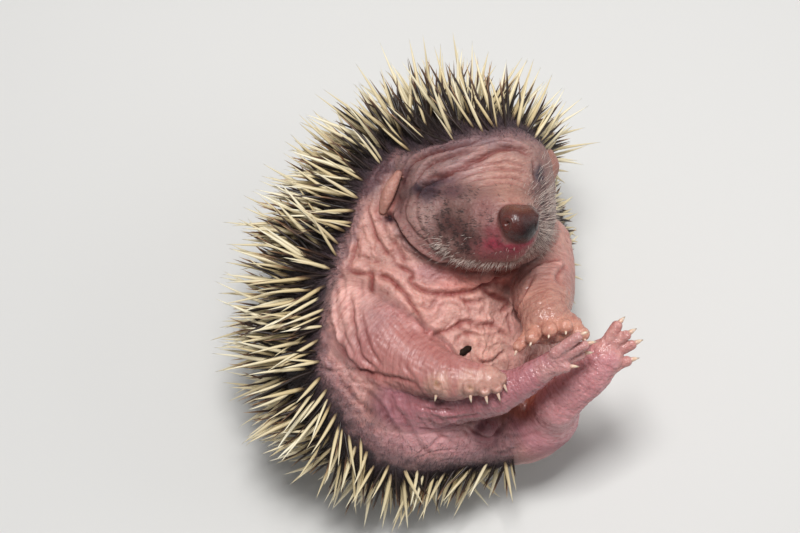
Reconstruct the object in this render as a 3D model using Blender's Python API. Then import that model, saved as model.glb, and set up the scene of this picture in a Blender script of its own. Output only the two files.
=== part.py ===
"""A hoglet, a young four-toed hedgehog, asleep on its back and half curled, at life size.

Every table below is in millimetres, in the body's own frame: x towards the animal's left,
y towards its head and z out of its belly. Each sub-part is a union of eggs and limbs, made
one skin by a voxel remesh. Where two sub-parts share space, the finer one keeps it and the
other is cut back to leave GAP between them. The last step pitches the body head-up, sets
the flat under its spines on z = 0 and turns millimetres into metres.
"""
import math

import bmesh
import bpy
import numpy as np
from mathutils import Matrix, Vector

MM = 0.001
GAP = 0.3                       # clearance between neighbouring sub-parts
BODY_PITCH = math.radians(22)   # how far the head end is raised above the rump
UNDER_COAT = 1.4                # spines pressed flat between the back and the floor

# The trunk is an egg on its back. Its own axes lean a little to the animal's left.
TRUNK_CENTRE = (-4.6, -1.6, -6.2)
TRUNK_RADII = (26.0, 34.2, 19.0)
TRUNK_NORMAL = (0.28, 0.17, 0.945)
TRUNK_YAW = math.radians(-20)

# The spines fill an outer egg, from the skin out to their tips, and two more round the
# back of the head and the rump.
COAT_CENTRE = (-7.6, 0.6, -8.6)
COAT_RADII = (34.0, 43.4, 23.6)
COAT_YAW = math.radians(-27)
CROWN_CENTRE = (1.8, 23.6, 1.6)
CROWN_RADII = (19.2, 20.0, 19.0)
RUMP_CENTRE = (3.0, -18.0, -8.0)
RUMP_RADII = (23.0, 20.6, 17.0)
TUFT_HEIGHT = 3.2
TUFT_LEAN = 1.6
TUFT_SPACING = 5.0
TUFT_AREA = 9.0                 # faces smaller than this, in square millimetres, stay bare
TUFT_CLEARANCE = 1.6            # tuft heights that must be free above a face to raise one
RIM_RISE = 3.2                  # how far the outer spines stand above the skin's rim
RIM_SLOPE = (-0.31, 0.16)
RIM_CURL = 0.0092

# How the sub-parts are meshed and kept apart
RELAX_STEPS = 2
JOIN_ANGLE = math.radians(35)   # two triangles within this become one tuft's base
FLAT_ANGLE = math.radians(4)    # facets within this of each other are merged after a cut
SHARP_ANGLE = math.radians(50)
MERGE = 0.002
FACET_SLACK = 0.5               # share of a voxel added round a sub-part for its flat facets
CORNER_GAP = 0.1                # least gap where a facet's corner pokes into its neighbour's room
CUTTER_REACH = 100.0            # half the size of a cutter, well past the whole animal
RIM_CELLS = (36, 44)

NOSE_CENTRE = (11.0, 11.6, 27.6)
NOSE_RADII = (3.5, 3.2, 3.1)
NOSE_NORMAL = (0.40, -0.15, 0.90)
NECK_CENTRE = (2.6, 8.4, 3.0)
NECK_RADII = (17.2, 9.4, 11.2)
NECK_NORMAL = (0.1, -0.1, 1.0)
NAVEL_CENTRE = (2.4, -10.8, 12.4)
NAVEL_RADII = (1.1, 0.8, 1.2)
TAIL = [(5.8, -25.8, 1.4, 2.6), (6.0, -24.9, 4.4, 2.1), (6.2, -24.4, 6.3, 1.3)]
FOOT_THIN = 0.72                # a palm's thickness against its width
CLAW_BASE = 0.62
CLAW_TIP = 0.26
CLAW_BEND = 0.35
CLAW_INSET = 0.15

# Colour and roughness of each finish
FINISHES = {
    "skin": ((0.76, 0.47, 0.42), 0.5),
    "mask": ((0.42, 0.28, 0.28), 0.55),
    "paw": ((0.74, 0.40, 0.36), 0.4),
    "ear": ((0.70, 0.42, 0.38), 0.5),
    "nose": ((0.20, 0.09, 0.08), 0.25),
    "claw": ((0.86, 0.74, 0.60), 0.35),
    "spines": ((0.62, 0.54, 0.42), 0.6),
    "scab": ((0.05, 0.035, 0.03), 0.8),
}


def frame_from(normal, yaw=0.0):
    """Axes whose third is normal, turned about it by yaw."""
    w = Vector(normal).normalized()
    u = (Vector((1, 0, 0)) - w * w.x).normalized()
    v = w.cross(u)
    turn = Matrix.Rotation(yaw, 3, w)
    return Matrix((turn @ u, turn @ v, w)).transposed()


BALL = None


def ball_points():
    """Directions spread evenly over a sphere."""
    global BALL
    if BALL is None:
        bm = bmesh.new()
        bmesh.ops.create_icosphere(bm, subdivisions=3, radius=1.0)
        BALL = np.array([v.co[:] for v in bm.verts])
        bm.free()
    return BALL


def egg(centre, radii, normal=(0, 0, 1), yaw=0.0):
    """One ellipsoid. A form is a function that gives its convex clouds, grown by some margin."""
    axes = np.array(frame_from(normal, yaw))

    def clouds(grow):
        return [np.array(centre) + (ball_points() * (np.array(radii) + grow)) @ axes.T]
    return [clouds]


def spline(stops, samples=5):
    """A smooth run through stops of (x, y, z, radius)."""
    p = np.array(stops, float)
    p = np.vstack([2 * p[0] - p[1], p, 2 * p[-1] - p[-2]])
    run = []
    for a, b, c, d in zip(p, p[1:], p[2:], p[3:]):
        for t in np.linspace(0, 1, samples, endpoint=False):
            run.append(0.5 * (2 * b + (c - a) * t + (2 * a - 5 * b + 4 * c - d) * t ** 2
                              + (3 * b - a - 3 * c + d) * t ** 3))
    run.append(p[-2])
    return run


def limb(stops, flat=None, thin=1.0):
    """A rounded limb through its stops; thin below 1 flattens it along the direction flat."""
    def clouds(grow):
        squash = np.zeros(3)
        if flat is not None:
            squash = np.array(Vector(flat).normalized())
        balls = []
        for stop in spline(stops):
            ball = ball_points() * (stop[3] + grow)
            ball = ball - (1 - thin) * (ball @ squash)[:, None] * squash
            balls.append(stop[:3] + ball)
        return [np.vstack(pair) for pair in zip(balls, balls[1:])]
    return [clouds]


def material(name, colour, roughness):
    mat = bpy.data.materials.get(name)
    if mat is None:
        mat = bpy.data.materials.new(name)
        mat.use_nodes = True
        shader = mat.node_tree.nodes["Principled BSDF"]
        shader.inputs["Base Color"].default_value = (*colour, 1.0)
        shader.inputs["Roughness"].default_value = roughness
        shader.inputs["Metallic"].default_value = 0.0
    return mat


def new_object(name, bm):
    mesh = bpy.data.meshes.new(name)
    bm.to_mesh(mesh)
    bm.free()
    obj = bpy.data.objects.new(name, mesh)
    bpy.context.scene.collection.objects.link(obj)
    return obj


def hulls(name, forms, grow):
    """An object holding the convex hull of every cloud of its forms."""
    bm = bmesh.new()
    for cloud in (c for form in forms for c in form(grow)):
        verts = [bm.verts.new(p) for p in cloud]
        made = bmesh.ops.convex_hull(bm, input=verts, use_existing_faces=False)
        loose = {g for g in made["geom_interior"] + made["geom_unused"]
                 if isinstance(g, bmesh.types.BMVert)}
        bmesh.ops.delete(bm, geom=list(loose), context="VERTS")
    return new_object(name, bm)


def bake(obj):
    """Replace an object's mesh by what its modifiers make of it, as triangles."""
    graph = bpy.context.evaluated_depsgraph_get()
    mesh = bpy.data.meshes.new_from_object(obj.evaluated_get(graph))
    obj.modifiers.clear()
    obj.data = mesh
    bm = bmesh.new()
    bm.from_mesh(mesh)
    bmesh.ops.triangulate(bm, faces=bm.faces[:])
    bm.to_mesh(mesh)
    bm.free()


def body_part(name, forms, triangles, voxel=0.5, grow=0.0):
    """One closed skin over the forms, brought down to about so many triangles."""
    obj = hulls(name, forms, grow)
    remesh = obj.modifiers.new("union", "REMESH")
    remesh.mode = "VOXEL"
    remesh.voxel_size = voxel
    smooth = obj.modifiers.new("relax", "SMOOTH")
    smooth.factor = 0.5
    smooth.iterations = RELAX_STEPS
    bake(obj)
    thin = obj.modifiers.new("decimate", "DECIMATE")
    thin.ratio = min(1.0, triangles / len(obj.data.polygons))
    bake(obj)
    return obj


def room_for(forms, triangles, voxel):
    """What a sub-part takes up with the gap round it; coarse facets need a little more."""
    return body_part("room", forms, triangles, voxel, grow=GAP + FACET_SLACK * voxel)


def largest_piece(obj):
    """Keep the largest closed body of a mesh and drop crumbs that a cut left over."""
    bm = bmesh.new()
    bm.from_mesh(obj.data)
    bmesh.ops.dissolve_degenerate(bm, dist=MERGE, edges=bm.edges[:])
    bmesh.ops.dissolve_limit(bm, angle_limit=FLAT_ANGLE, verts=bm.verts[:], edges=bm.edges[:])
    bmesh.ops.triangulate(bm, faces=bm.faces[:])
    left = set(bm.verts)
    pieces = []
    while left:
        seed = left.pop()
        piece, front = {seed}, [seed]
        while front:
            for edge in front.pop().link_edges:
                for vert in edge.verts:
                    if vert in left:
                        left.discard(vert)
                        piece.add(vert)
                        front.append(vert)
        pieces.append(piece)
    pieces.sort(key=len)
    for piece in pieces[:-1]:
        bmesh.ops.delete(bm, geom=list(piece), context="VERTS")
    bm.to_mesh(obj.data)
    bm.free()


def padded(obj, by):
    """A copy of a part moved out along its normals."""
    bm = bmesh.new()
    bm.from_mesh(obj.data)
    bm.normal_update()
    for vert in bm.verts:
        vert.co += vert.normal * by
    return new_object("room", bm)


def copy_of(obj):
    copy = bpy.data.objects.new(obj.name, obj.data)
    bpy.context.scene.collection.objects.link(copy)
    return copy


def box_of(obj):
    points = np.array([v.co[:] for v in obj.data.vertices])
    return points.min(axis=0), points.max(axis=0)


def near(obj, other, margin=1.0):
    low, high = box_of(obj)
    low2, high2 = box_of(other)
    return bool((low - margin < high2).all() and (low2 - margin < high).all())


def cut(obj, cutter):
    boolean = obj.modifiers.new("cut", "BOOLEAN")
    boolean.operation = "DIFFERENCE"
    boolean.solver = "EXACT"
    boolean.object = cutter
    bake(obj)
    bpy.data.objects.remove(cutter)


def give_way(obj, room):
    """Cut obj back from the room that each finer sub-part needs."""
    for form in room:
        if near(obj, form):
            cut(obj, copy_of(form))
    largest_piece(obj)


def claw_stops(root, direction, length, curl):
    """Stops along a claw that bends towards curl."""
    d = Vector(direction).normalized()
    c = Vector(curl)
    c = (c - d * c.dot(d)).normalized()
    stops = []
    for t in (0.0, 0.55, 1.0):
        centre = Vector(root) + d * (length * t) + c * (CLAW_BEND * length * t * t)
        stops.append((*centre, CLAW_BASE + (CLAW_TIP - CLAW_BASE) * t))
    return stops


def claw(name, stops, sides=5):
    """A claw as rings of corners round its stops, closed at both ends."""
    bm = bmesh.new()
    way = Vector(stops[-1][:3]) - Vector(stops[0][:3])
    axes = frame_from(way)
    rings = []
    for *centre, radius in stops:
        corners = [axes @ Vector((math.cos(a), math.sin(a), 0))
                   for a in (2 * math.pi * k / sides for k in range(sides))]
        rings.append([bm.verts.new(Vector(centre) + corner * radius) for corner in corners])
    for low, high in zip(rings, rings[1:]):
        bmesh.ops.bridge_loops(bm, edges=[bm.edges.get((r[k - 1], r[k])) or
                                          bm.edges.new((r[k - 1], r[k]))
                                          for r in (low, high) for k in range(sides)])
    bm.faces.new(rings[0])
    bm.faces.new(rings[-1])
    bmesh.ops.recalc_face_normals(bm, faces=bm.faces[:])
    bmesh.ops.triangulate(bm, faces=bm.faces[:])
    return new_object(name, bm)


# ------------------------------------------------------------------ the head
def head_forms():
    cranium = egg((4.0, 17.2, 5.0), (14.4, 13.2, 13.0))
    brow = egg((7.5, 21.5, 11.5), (9.6, 7.4, 7.5))
    cheek_right = egg((-0.6, 11.6, 11.0), (8.6, 7.6, 8.4))
    cheek_left = egg((12.3, 13.0, 12.0), (5.8, 7.8, 8.4))
    muzzle = limb([(4.5, 13.2, 14.5, 9.4), (7.6, 11.6, 19.8, 7.0), (9.8, 10.8, 24.0, 4.7),
                   (10.7, 11.2, 26.6, 3.6)])
    jaw = limb([(3.5, 8.2, 12.5, 5.6), (7.2, 7.2, 18.2, 3.7), (9.4, 7.8, 22.4, 2.5)])
    return cranium + brow + cheek_right + cheek_left + muzzle + jaw


def ear_right_forms():
    return limb([(-11.0, 14.2, 10.6, 0.9), (-10.4, 16.2, 11.2, 1.4), (-9.4, 18.6, 11.3, 1.35),
                 (-8.5, 20.4, 10.6, 0.8)], flat=(-0.55, 0.1, 0.8), thin=0.62)


def ear_left_forms():
    return limb([(17.6, 20.2, 8.5, 1.0), (17.9, 22.0, 8.6, 1.6), (17.4, 23.8, 8.0, 1.2)],
                flat=(0.8, 0.1, 0.55), thin=0.6)


def eyelid_forms(side):
    if side == "right":
        return egg((-2.6, 17.3, 17.0), (2.7, 1.5, 1.0), normal=(-0.42, 0.12, 0.9), yaw=0.5)
    return egg((15.6, 18.6, 15.3), (1.3, 2.2, 1.0), normal=(0.75, 0.2, 0.62))


# ------------------------------------------------------------------ the limbs
FORE_RIGHT = {
    "upper": [(-17.0, 2.2, 1.0, 7.2), (-15.6, -3.0, 4.8, 8.4), (-13.4, -7.4, 7.4, 8.0)],
    "lower": [(-12.8, -7.8, 8.0, 7.6), (-8.4, -10.8, 11.2, 6.8), (-3.4, -13.2, 15.2, 5.1),
              (0.0, -14.6, 17.6, 4.0)],
    "palm": [(-0.4, -14.4, 18.0, 3.6), (3.4, -14.8, 19.2, 3.0), (6.0, -14.9, 19.4, 2.4)],
    "palm_flat": (0.1, 0.2, 0.97),
    "toes": [[(-0.8, -15.2, 18.8, 1.7), (-2.5, -16.2, 19.4, 1.6)],
             [(2.6, -15.4, 19.6, 1.6), (2.8, -16.5, 20.8, 1.35)],
             [(4.8, -15.6, 19.8, 1.5), (5.4, -16.8, 20.8, 1.2)],
             [(6.4, -15.2, 19.6, 1.4), (7.4, -16.4, 20.4, 1.15)],
             [(6.8, -14.4, 19.2, 1.3), (8.3, -15.0, 19.4, 1.1)]],
    "claw_way": (0.12, -0.95, 0.1), "claw_curl": (0, 0, -1), "claw_length": 1.5,
}
FORE_LEFT = {
    "upper": [(16.6, 7.6, -1.0, 6.6), (17.4, 2.6, 4.0, 6.2), (17.2, -0.8, 8.6, 5.2)],
    "lower": [(17.2, -0.6, 9.0, 5.0), (16.9, -3.2, 12.6, 4.3), (16.2, -5.6, 15.2, 3.6)],
    "palm": [(15.2, -6.4, 15.4, 3.0), (17.4, -6.2, 15.8, 3.2), (20.2, -6.6, 15.4, 2.6)],
    "palm_flat": (0.0, 0.15, 0.98),
    "toes": [[(13.4, -7.8, 15.8, 1.5), (11.0, -10.2, 17.0, 1.2)],
             [(14.6, -7.4, 16.8, 1.6), (13.3, -8.4, 18.8, 1.5)],
             [(16.8, -6.8, 17.0, 1.6), (16.3, -7.4, 19.2, 1.5)],
             [(19.2, -6.6, 16.6, 1.6), (19.6, -7.0, 18.6, 1.45)],
             [(21.0, -7.0, 15.2, 1.5), (22.8, -7.6, 15.6, 1.35)]],
    "claw_way": (-0.1, -0.85, 0.5), "claw_curl": (0, 0.3, -1), "claw_length": 1.3,
}
HIND_RIGHT = {
    "upper": [(-8.0, -21.5, -2.0, 8.6), (-11.6, -18.8, 3.4, 7.6), (-10.6, -18.2, 6.4, 6.4)],
    "lower": [(-10.0, -18.2, 7.4, 6.0), (-4.4, -18.7, 10.2, 4.9), (2.4, -18.6, 12.2, 4.3),
              (7.0, -17.8, 13.8, 3.9)],
    "palm": [(8.2, -17.5, 14.2, 3.8), (12.4, -15.7, 16.4, 3.1), (16.3, -13.1, 18.2, 2.6),
             (18.8, -11.2, 19.8, 2.2)],
    "palm_flat": (0.45, 0.75, 0.45),
    "toes": [[(17.0, -13.0, 19.2, 1.5), (19.0, -12.7, 20.6, 1.1)],
             [(19.2, -11.8, 19.4, 1.5), (21.6, -10.2, 19.5, 1.1)],
             [(19.4, -11.0, 20.4, 1.5), (22.1, -9.0, 21.0, 1.1)],
             [(19.2, -10.6, 21.4, 1.4), (21.5, -8.4, 22.6, 1.1)]],
    "claw_way": (0.8, 0.5, 0.1), "claw_curl": (0.3, -0.8, -0.2), "claw_length": 1.7,
}
HIND_LEFT = {
    "upper": [(6.0, -24.0, -4.0, 7.6), (13.2, -24.4, -3.4, 7.2), (17.0, -22.8, -2.2, 6.0)],
    "lower": [(17.4, -22.4, -1.4, 5.4), (18.4, -21.6, 2.8, 4.1), (18.8, -20.6, 5.8, 3.4)],
    "palm": [(19.0, -20.4, 6.8, 3.3), (21.6, -17.4, 8.8, 3.4), (24.2, -14.8, 10.6, 3.5),
             (26.3, -11.9, 12.0, 3.4)],
    "palm_flat": (-0.30, -0.28, 0.91),
    "toes": [[(26.6, -9.8, 12.8, 1.35), (28.7, -6.1, 13.9, 0.98)],
             [(27.9, -9.6, 12.8, 1.1), (30.3, -7.7, 13.9, 0.9)],
             [(28.4, -10.8, 12.4, 1.1), (31.3, -9.4, 13.2, 0.9)],
             [(27.8, -13.0, 11.6, 1.35), (30.6, -12.3, 12.2, 0.95)]],
    "claw_way": (0.78, 0.60, 0.05), "claw_curl": (0.2, -0.3, -0.7), "claw_length": 1.5,
}
LEGS = [("fore", "right", FORE_RIGHT), ("fore", "left", FORE_LEFT),
        ("hind", "right", HIND_RIGHT), ("hind", "left", HIND_LEFT)]
LEG_NAMES = {"fore": ("upper_arm", "forearm", "forepaw"), "hind": ("thigh", "shank", "hindfoot")}


def claw_runs(leg):
    """The stops of each claw, starting just off the tip of its toe."""
    runs = []
    for base, tip in leg["toes"]:
        along = (Vector(tip[:3]) - Vector(base[:3])).normalized()
        way = (along + Vector(leg["claw_way"])).normalized()
        root = Vector(tip[:3]) + way * (tip[3] + GAP - CLAW_INSET)
        runs.append(claw_stops(root, way, leg["claw_length"], leg["claw_curl"]))
    return runs


def foot_forms(leg):
    forms = limb(leg["palm"], flat=leg["palm_flat"], thin=FOOT_THIN)
    for base, tip in leg["toes"]:
        forms += limb([base, tip])
    return forms


# ------------------------------------------------------------------ trunk and coat
def trunk_forms():
    return (egg(TRUNK_CENTRE, TRUNK_RADII, TRUNK_NORMAL, TRUNK_YAW)
            + egg((2.0, -24.0, -3.0), (17.0, 8.5, 8.5), (0.1, -0.3, 0.95))
            + egg((-9.8, 12.0, 2.6), (11.4, 13.5, 9.6), (-0.3, 0.1, 0.93), math.radians(-24))
            + egg((0.0, 19.0, -3.0), (17.0, 12.5, 14.0), TRUNK_NORMAL))


def rim_height(x, y):
    """Height of the saddle where spiny skin meets bare skin; it rises at head and rump."""
    return RIM_SLOPE[0] * x + RIM_SLOPE[1] * y + RIM_CURL * y * y


def above_the_rim():
    """A cutter that takes away all that is above the outer spines' tips."""
    bm = bmesh.new()
    bmesh.ops.create_grid(bm, x_segments=RIM_CELLS[0], y_segments=RIM_CELLS[1],
                          size=CUTTER_REACH)
    top = bmesh.ops.extrude_face_region(bm, geom=bm.faces[:])
    ends = COAT_RADII[1]
    for vert in bm.verts:
        vert.co.z = rim_height(vert.co.x, min(max(vert.co.y, -ends), ends)) + RIM_RISE
    for item in top["geom"]:
        if isinstance(item, bmesh.types.BMVert):
            item.co.z = CUTTER_REACH
    bmesh.ops.recalc_face_normals(bm, faces=bm.faces[:])
    return new_object("cutter", bm)


def up_in_body():
    """The world's upward direction, in the body's frame."""
    return Vector((0, math.sin(BODY_PITCH), math.cos(BODY_PITCH)))


def lowest_point(centre, radii, axes):
    """Where an ellipsoid reaches furthest down."""
    local = axes.transposed() @ up_in_body()
    reach = Vector(r * r * c for r, c in zip(radii, local))
    return Vector(centre) - axes @ (reach / math.sqrt(local.dot(reach)))


def floor_level():
    """Height of the floor along the upward direction."""
    back = lowest_point(TRUNK_CENTRE, TRUNK_RADII, frame_from(TRUNK_NORMAL, TRUNK_YAW))
    return back.dot(up_in_body()) - UNDER_COAT


def resting_point():
    """The point of the floor under the outer egg's lowest point."""
    lowest = lowest_point(COAT_CENTRE, COAT_RADII, frame_from(TRUNK_NORMAL, COAT_YAW))
    return lowest + up_in_body() * (floor_level() - lowest.dot(up_in_body()))


def below_the_floor():
    bm = bmesh.new()
    bmesh.ops.create_cube(bm, size=2 * CUTTER_REACH)
    down = Matrix.Translation(up_in_body() * (floor_level() - CUTTER_REACH))
    bmesh.ops.transform(bm, matrix=down @ Matrix.Rotation(-BODY_PITCH, 4, "X"), verts=bm.verts)
    return new_object("cutter", bm)


def coat_eggs():
    """Centre, radii and axes of the eggs that the spines fill, without the tufts."""
    for centre, radii, axes in ((COAT_CENTRE, COAT_RADII, frame_from(TRUNK_NORMAL, COAT_YAW)),
                                (CROWN_CENTRE, CROWN_RADII, frame_from((0, 0, 1))),
                                (RUMP_CENTRE, RUMP_RADII, frame_from((0, 0, 1)))):
        yield Vector(centre), Vector(r - TUFT_HEIGHT for r in radii), axes


def spine_coat():
    """The spines' solid before it has its tufts."""
    forms = []
    for (centre, radii, axes), yaw in zip(coat_eggs(), (COAT_YAW, 0.0, 0.0)):
        forms += egg(centre, radii, axes.col[2], yaw)
    coat = body_part("spine_coat", forms, math.inf, voxel=TUFT_SPACING)
    cut(coat, above_the_rim())
    cut(coat, below_the_floor())
    return coat


def within_coat(point):
    for centre, radii, axes in coat_eggs():
        local = axes.transposed() @ (point - centre)
        if Vector(c / r for c, r in zip(local, radii)).length < 1:
            return True
    return False


def add_tufts(coat):
    """Raise a low point on each outer face, leaning back from the belly."""
    back = -frame_from(TRUNK_NORMAL).col[2]
    up = up_in_body()
    bm = bmesh.new()
    bm.from_mesh(coat.data)
    bmesh.ops.join_triangles(bm, faces=bm.faces[:], angle_face_threshold=JOIN_ANGLE,
                             angle_shape_threshold=JOIN_ANGLE)
    outer = []
    for face in bm.faces:
        centre = face.calc_center_median()
        clear = centre + face.normal * TUFT_HEIGHT * TUFT_CLEARANCE
        if face.calc_area() > TUFT_AREA and not within_coat(clear):
            outer.append(face)
    for tip in bmesh.ops.poke(bm, faces=outer)["verts"]:
        out = tip.normal.copy()
        rise = out * TUFT_HEIGHT + (back - out * back.dot(out)) * TUFT_LEAN
        room = tip.co.dot(up) - floor_level()
        if rise.dot(up) < 0:
            rise *= min(1.0, max(0.0, room - GAP) / -rise.dot(up))
        tip.co += rise
    bmesh.ops.triangulate(bm, faces=bm.faces[:])
    bm.to_mesh(coat.data)
    bm.free()


# ------------------------------------------------------------------ assembly
def to_world():
    turn = Matrix.Rotation(BODY_PITCH, 4, "X")
    return Matrix.Scale(MM, 4) @ turn @ Matrix.Translation(-resting_point())


def finish(obj, slot, world, root):
    obj.data.transform(world)
    obj.data.materials.clear()
    obj.data.materials.append(material(slot, *FINISHES[slot]))
    obj.data.shade_smooth()
    obj.data.set_sharp_from_angle(angle=SHARP_ANGLE)
    obj.parent = root


def fleshy_parts():
    """Name, forms, triangles, voxel and finish of each part, the finest first."""
    parts = [("nose", egg(NOSE_CENTRE, NOSE_RADII, NOSE_NORMAL), 100, 0.4, "nose"),
             ("ear_right", ear_right_forms(), 70, 0.28, "ear"),
             ("ear_left", ear_left_forms(), 70, 0.28, "ear"),
             ("eyelid_right", eyelid_forms("right"), 48, 0.3, "mask"),
             ("eyelid_left", eyelid_forms("left"), 48, 0.3, "mask")]
    upper, lower, foot = ([(LEG_NAMES[end][k] + "_" + side, leg) for end, side, leg in LEGS]
                          for k in range(3))
    parts += [(name, foot_forms(leg), 190, 0.3, "paw") for name, leg in foot]
    parts += [(name, limb(leg["lower"]), 100, 0.5, "skin") for name, leg in lower]
    parts += [("head", head_forms(), 400, 0.5, "mask")]
    parts += [(name, limb(leg["upper"]), 80, 0.5, "skin") for name, leg in upper]
    parts += [("navel", egg(NAVEL_CENTRE, NAVEL_RADII), 40, 0.3, "scab"),
              ("tail", limb(TAIL), 60, 0.4, "mask"),
              ("neck", egg(NECK_CENTRE, NECK_RADII, NECK_NORMAL), 120, 0.6, "skin"),
              ("trunk", trunk_forms(), 320, 0.8, "skin")]
    return parts


def build():
    for old in list(bpy.data.objects):
        bpy.data.objects.remove(old)

    parts, room = [], []
    for end, side, leg in LEGS:
        for number, stops in enumerate(claw_runs(leg), start=1):
            parts.append((claw(f"claw_{end}_{side}_{number}", stops), "claw"))
    claws = len(parts)          # they have no room of their own: they only rest on the toes
    for name, forms, triangles, voxel, slot in fleshy_parts():
        parts.append((body_part(name, forms, triangles, voxel), slot))
        room.append(room_for(forms, triangles, voxel))
    coat = spine_coat()
    parts.append((coat, "spines"))

    corners = [padded(obj, CORNER_GAP) for obj, slot in parts]
    for k, (obj, slot) in enumerate(parts):
        give_way(obj, room[:max(0, k - claws)] + corners[:k])
    add_tufts(coat)
    for form in room + corners:
        bpy.data.objects.remove(form)

    root = bpy.data.objects.new("hedgehog", None)
    bpy.context.scene.collection.objects.link(root)
    world = to_world()
    for obj, slot in parts:
        finish(obj, slot, world, root)


build()
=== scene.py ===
import math

import bpy
import numpy as np
from mathutils import Matrix, Vector


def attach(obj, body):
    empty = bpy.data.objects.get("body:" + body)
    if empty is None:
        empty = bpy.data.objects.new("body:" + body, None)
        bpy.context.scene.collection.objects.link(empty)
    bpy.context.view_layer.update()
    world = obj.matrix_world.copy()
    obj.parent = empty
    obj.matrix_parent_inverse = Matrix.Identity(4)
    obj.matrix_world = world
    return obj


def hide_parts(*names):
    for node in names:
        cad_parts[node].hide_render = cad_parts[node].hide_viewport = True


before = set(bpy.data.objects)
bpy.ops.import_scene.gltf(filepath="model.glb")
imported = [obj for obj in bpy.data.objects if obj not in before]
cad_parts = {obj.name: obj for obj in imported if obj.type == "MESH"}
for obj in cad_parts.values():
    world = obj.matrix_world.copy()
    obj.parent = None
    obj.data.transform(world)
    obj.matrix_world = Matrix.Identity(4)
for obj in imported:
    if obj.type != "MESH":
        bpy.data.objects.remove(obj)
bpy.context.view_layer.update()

# Everything is laid out in millimetres in the body's own frame, as the solids are: x towards the
# animal's left, y towards its head, z out of its belly. place() takes points into the row frame.
MM = 0.001
BODY_PITCH = math.radians(22)
RESTING_POINT = (-2.049, -12.398, -24.989)
VOXEL = 0.56  # of the first grid; bare skin is refined to half of it
FAR = 1e3  # further than anything in the model
BLOCK = 4  # voxels along one coarse block
FLOOR_GAP = 0.05  # millimetres from the floor to the skin that lies on it

F = np.float32
CORNERS = [(i, j, k) for i in (0, 1) for j in (0, 1) for k in (0, 1)]
PITCH = np.array(Matrix.Rotation(BODY_PITCH, 3, "X"), dtype=np.float64)


def place(points):
    """Body frame in millimetres to the row frame in metres."""
    return ((np.asarray(points, float) - RESTING_POINT) @ PITCH.T) * MM


def place_direction(vectors):
    return np.asarray(vectors, float) @ PITCH.T


def height(points):
    """Height above the floor, in millimetres."""
    return place(points)[:, 2] / MM


def unit(v):
    v = np.asarray(v, float)
    return v / np.maximum(np.linalg.norm(v, axis=-1, keepdims=True), 1e-12)


def apart(p, q):
    return np.linalg.norm(p - q, axis=1)


def bell(x):
    return np.exp(-x ** 2)


def blob(p, centre, radius):
    return np.exp(-(((p - centre) / radius) ** 2).sum(axis=1))


def smooth_step(low, high, x):
    t = np.clip((x - low) / (high - low), 0, 1)
    return t * t * (3 - 2 * t)


def frame_from(normal, yaw=0.0):
    """Axes, as columns, whose third is normal, turned about it by yaw."""
    w = Vector(normal).normalized()
    u = (Vector((1, 0, 0)) - w * w.x).normalized()
    v = w.cross(u)
    turn = Matrix.Rotation(yaw, 3, w)
    return np.array(Matrix((turn @ u, turn @ v, w)).transposed())


# ---- noise
def hashed(cells, seed):
    """A repeatable number in 0..1 for each cell of a lattice."""
    ix, iy, iz = cells.astype(np.int64).T
    h = (ix * 374761393 + iy * 668265263 + iz * 2147483647 + seed * 974634777) & 0xFFFFFFFF
    h = ((h ^ (h >> 13)) * 1274126177) & 0xFFFFFFFF
    h = ((h ^ (h >> 16)) * 2246822519) & 0xFFFFFFFF
    return ((h ^ (h >> 15)) & 0xFFFFFF) / float(0xFFFFFF)


def noise(p, scale, seed=0):
    """Smooth value noise in -1..1, whose lumps are about scale apart."""
    q = np.asarray(p, float) / scale
    base = np.floor(q)
    f = q - base
    f = f * f * f * (f * (f * 6 - 15) + 10)
    total = np.zeros(len(q))
    for corner in CORNERS:
        wx, wy, wz = np.where(corner, f, 1 - f).T
        total += wx * wy * wz * hashed(base + corner, seed)
    return total * 2 - 1


def warp(p, scale, amount, seed):
    """Points pushed about by three noises, so that what is read there wanders."""
    return p + amount * np.stack([noise(p, scale, seed + k) for k in range(3)], axis=1)


# ---- forms
def egg(centre, radii, normal=(0, 0, 1), yaw=0.0, blend=2.0):
    return {"kind": "egg", "centre": np.array(centre, F), "radii": np.array(radii, F),
            "axes": frame_from(normal, yaw).astype(F), "blend": blend}


def spline(stops, samples=4):
    """A smooth run through stops of (x, y, z, radius)."""
    p = np.array(stops, float)
    p = np.vstack([2 * p[0] - p[1], p, 2 * p[-1] - p[-2]])
    run = []
    for a, b, c, d in zip(p, p[1:], p[2:], p[3:]):
        for t in np.linspace(0, 1, samples, endpoint=False):
            run.append(0.5 * (2 * b + (c - a) * t + (2 * a - 5 * b + 4 * c - d) * t ** 2
                              + (3 * b - a - 3 * c + d) * t ** 3))
    run.append(p[-2])
    return np.array(run)


def limb(stops, flat=None, thin=1.0, blend=1.5, samples=4):
    return {"kind": "limb", "run": spline(stops, samples).astype(F), "thin": thin, "blend": blend,
            "flat": None if flat is None else unit(flat).astype(F)}


def form_distance(p, form):
    if form["kind"] == "egg":
        q = (p - form["centre"]) @ form["axes"]
        a = q / form["radii"]
        k0 = np.sqrt((a * a).sum(1))
        a = a / form["radii"]
        k1 = np.sqrt((a * a).sum(1))
        return k0 * (k0 - 1) / np.maximum(k1, 1e-6)
    best = np.full(len(p), FAR, F)
    for a, b in zip(form["run"], form["run"][1:]):
        ab = b[:3] - a[:3]
        t = np.clip(((p - a[:3]) @ ab) / max(float(ab @ ab), 1e-6), 0, 1)
        q = p - a[:3] - t[:, None] * ab
        if form["flat"] is not None:
            across = q @ form["flat"]
            q = q + (across * (1 / form["thin"] - 1))[:, None] * form["flat"]
        best = np.minimum(best, np.sqrt((q * q).sum(1)) - (a[3] + t * (b[3] - a[3])))
    return best


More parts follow.
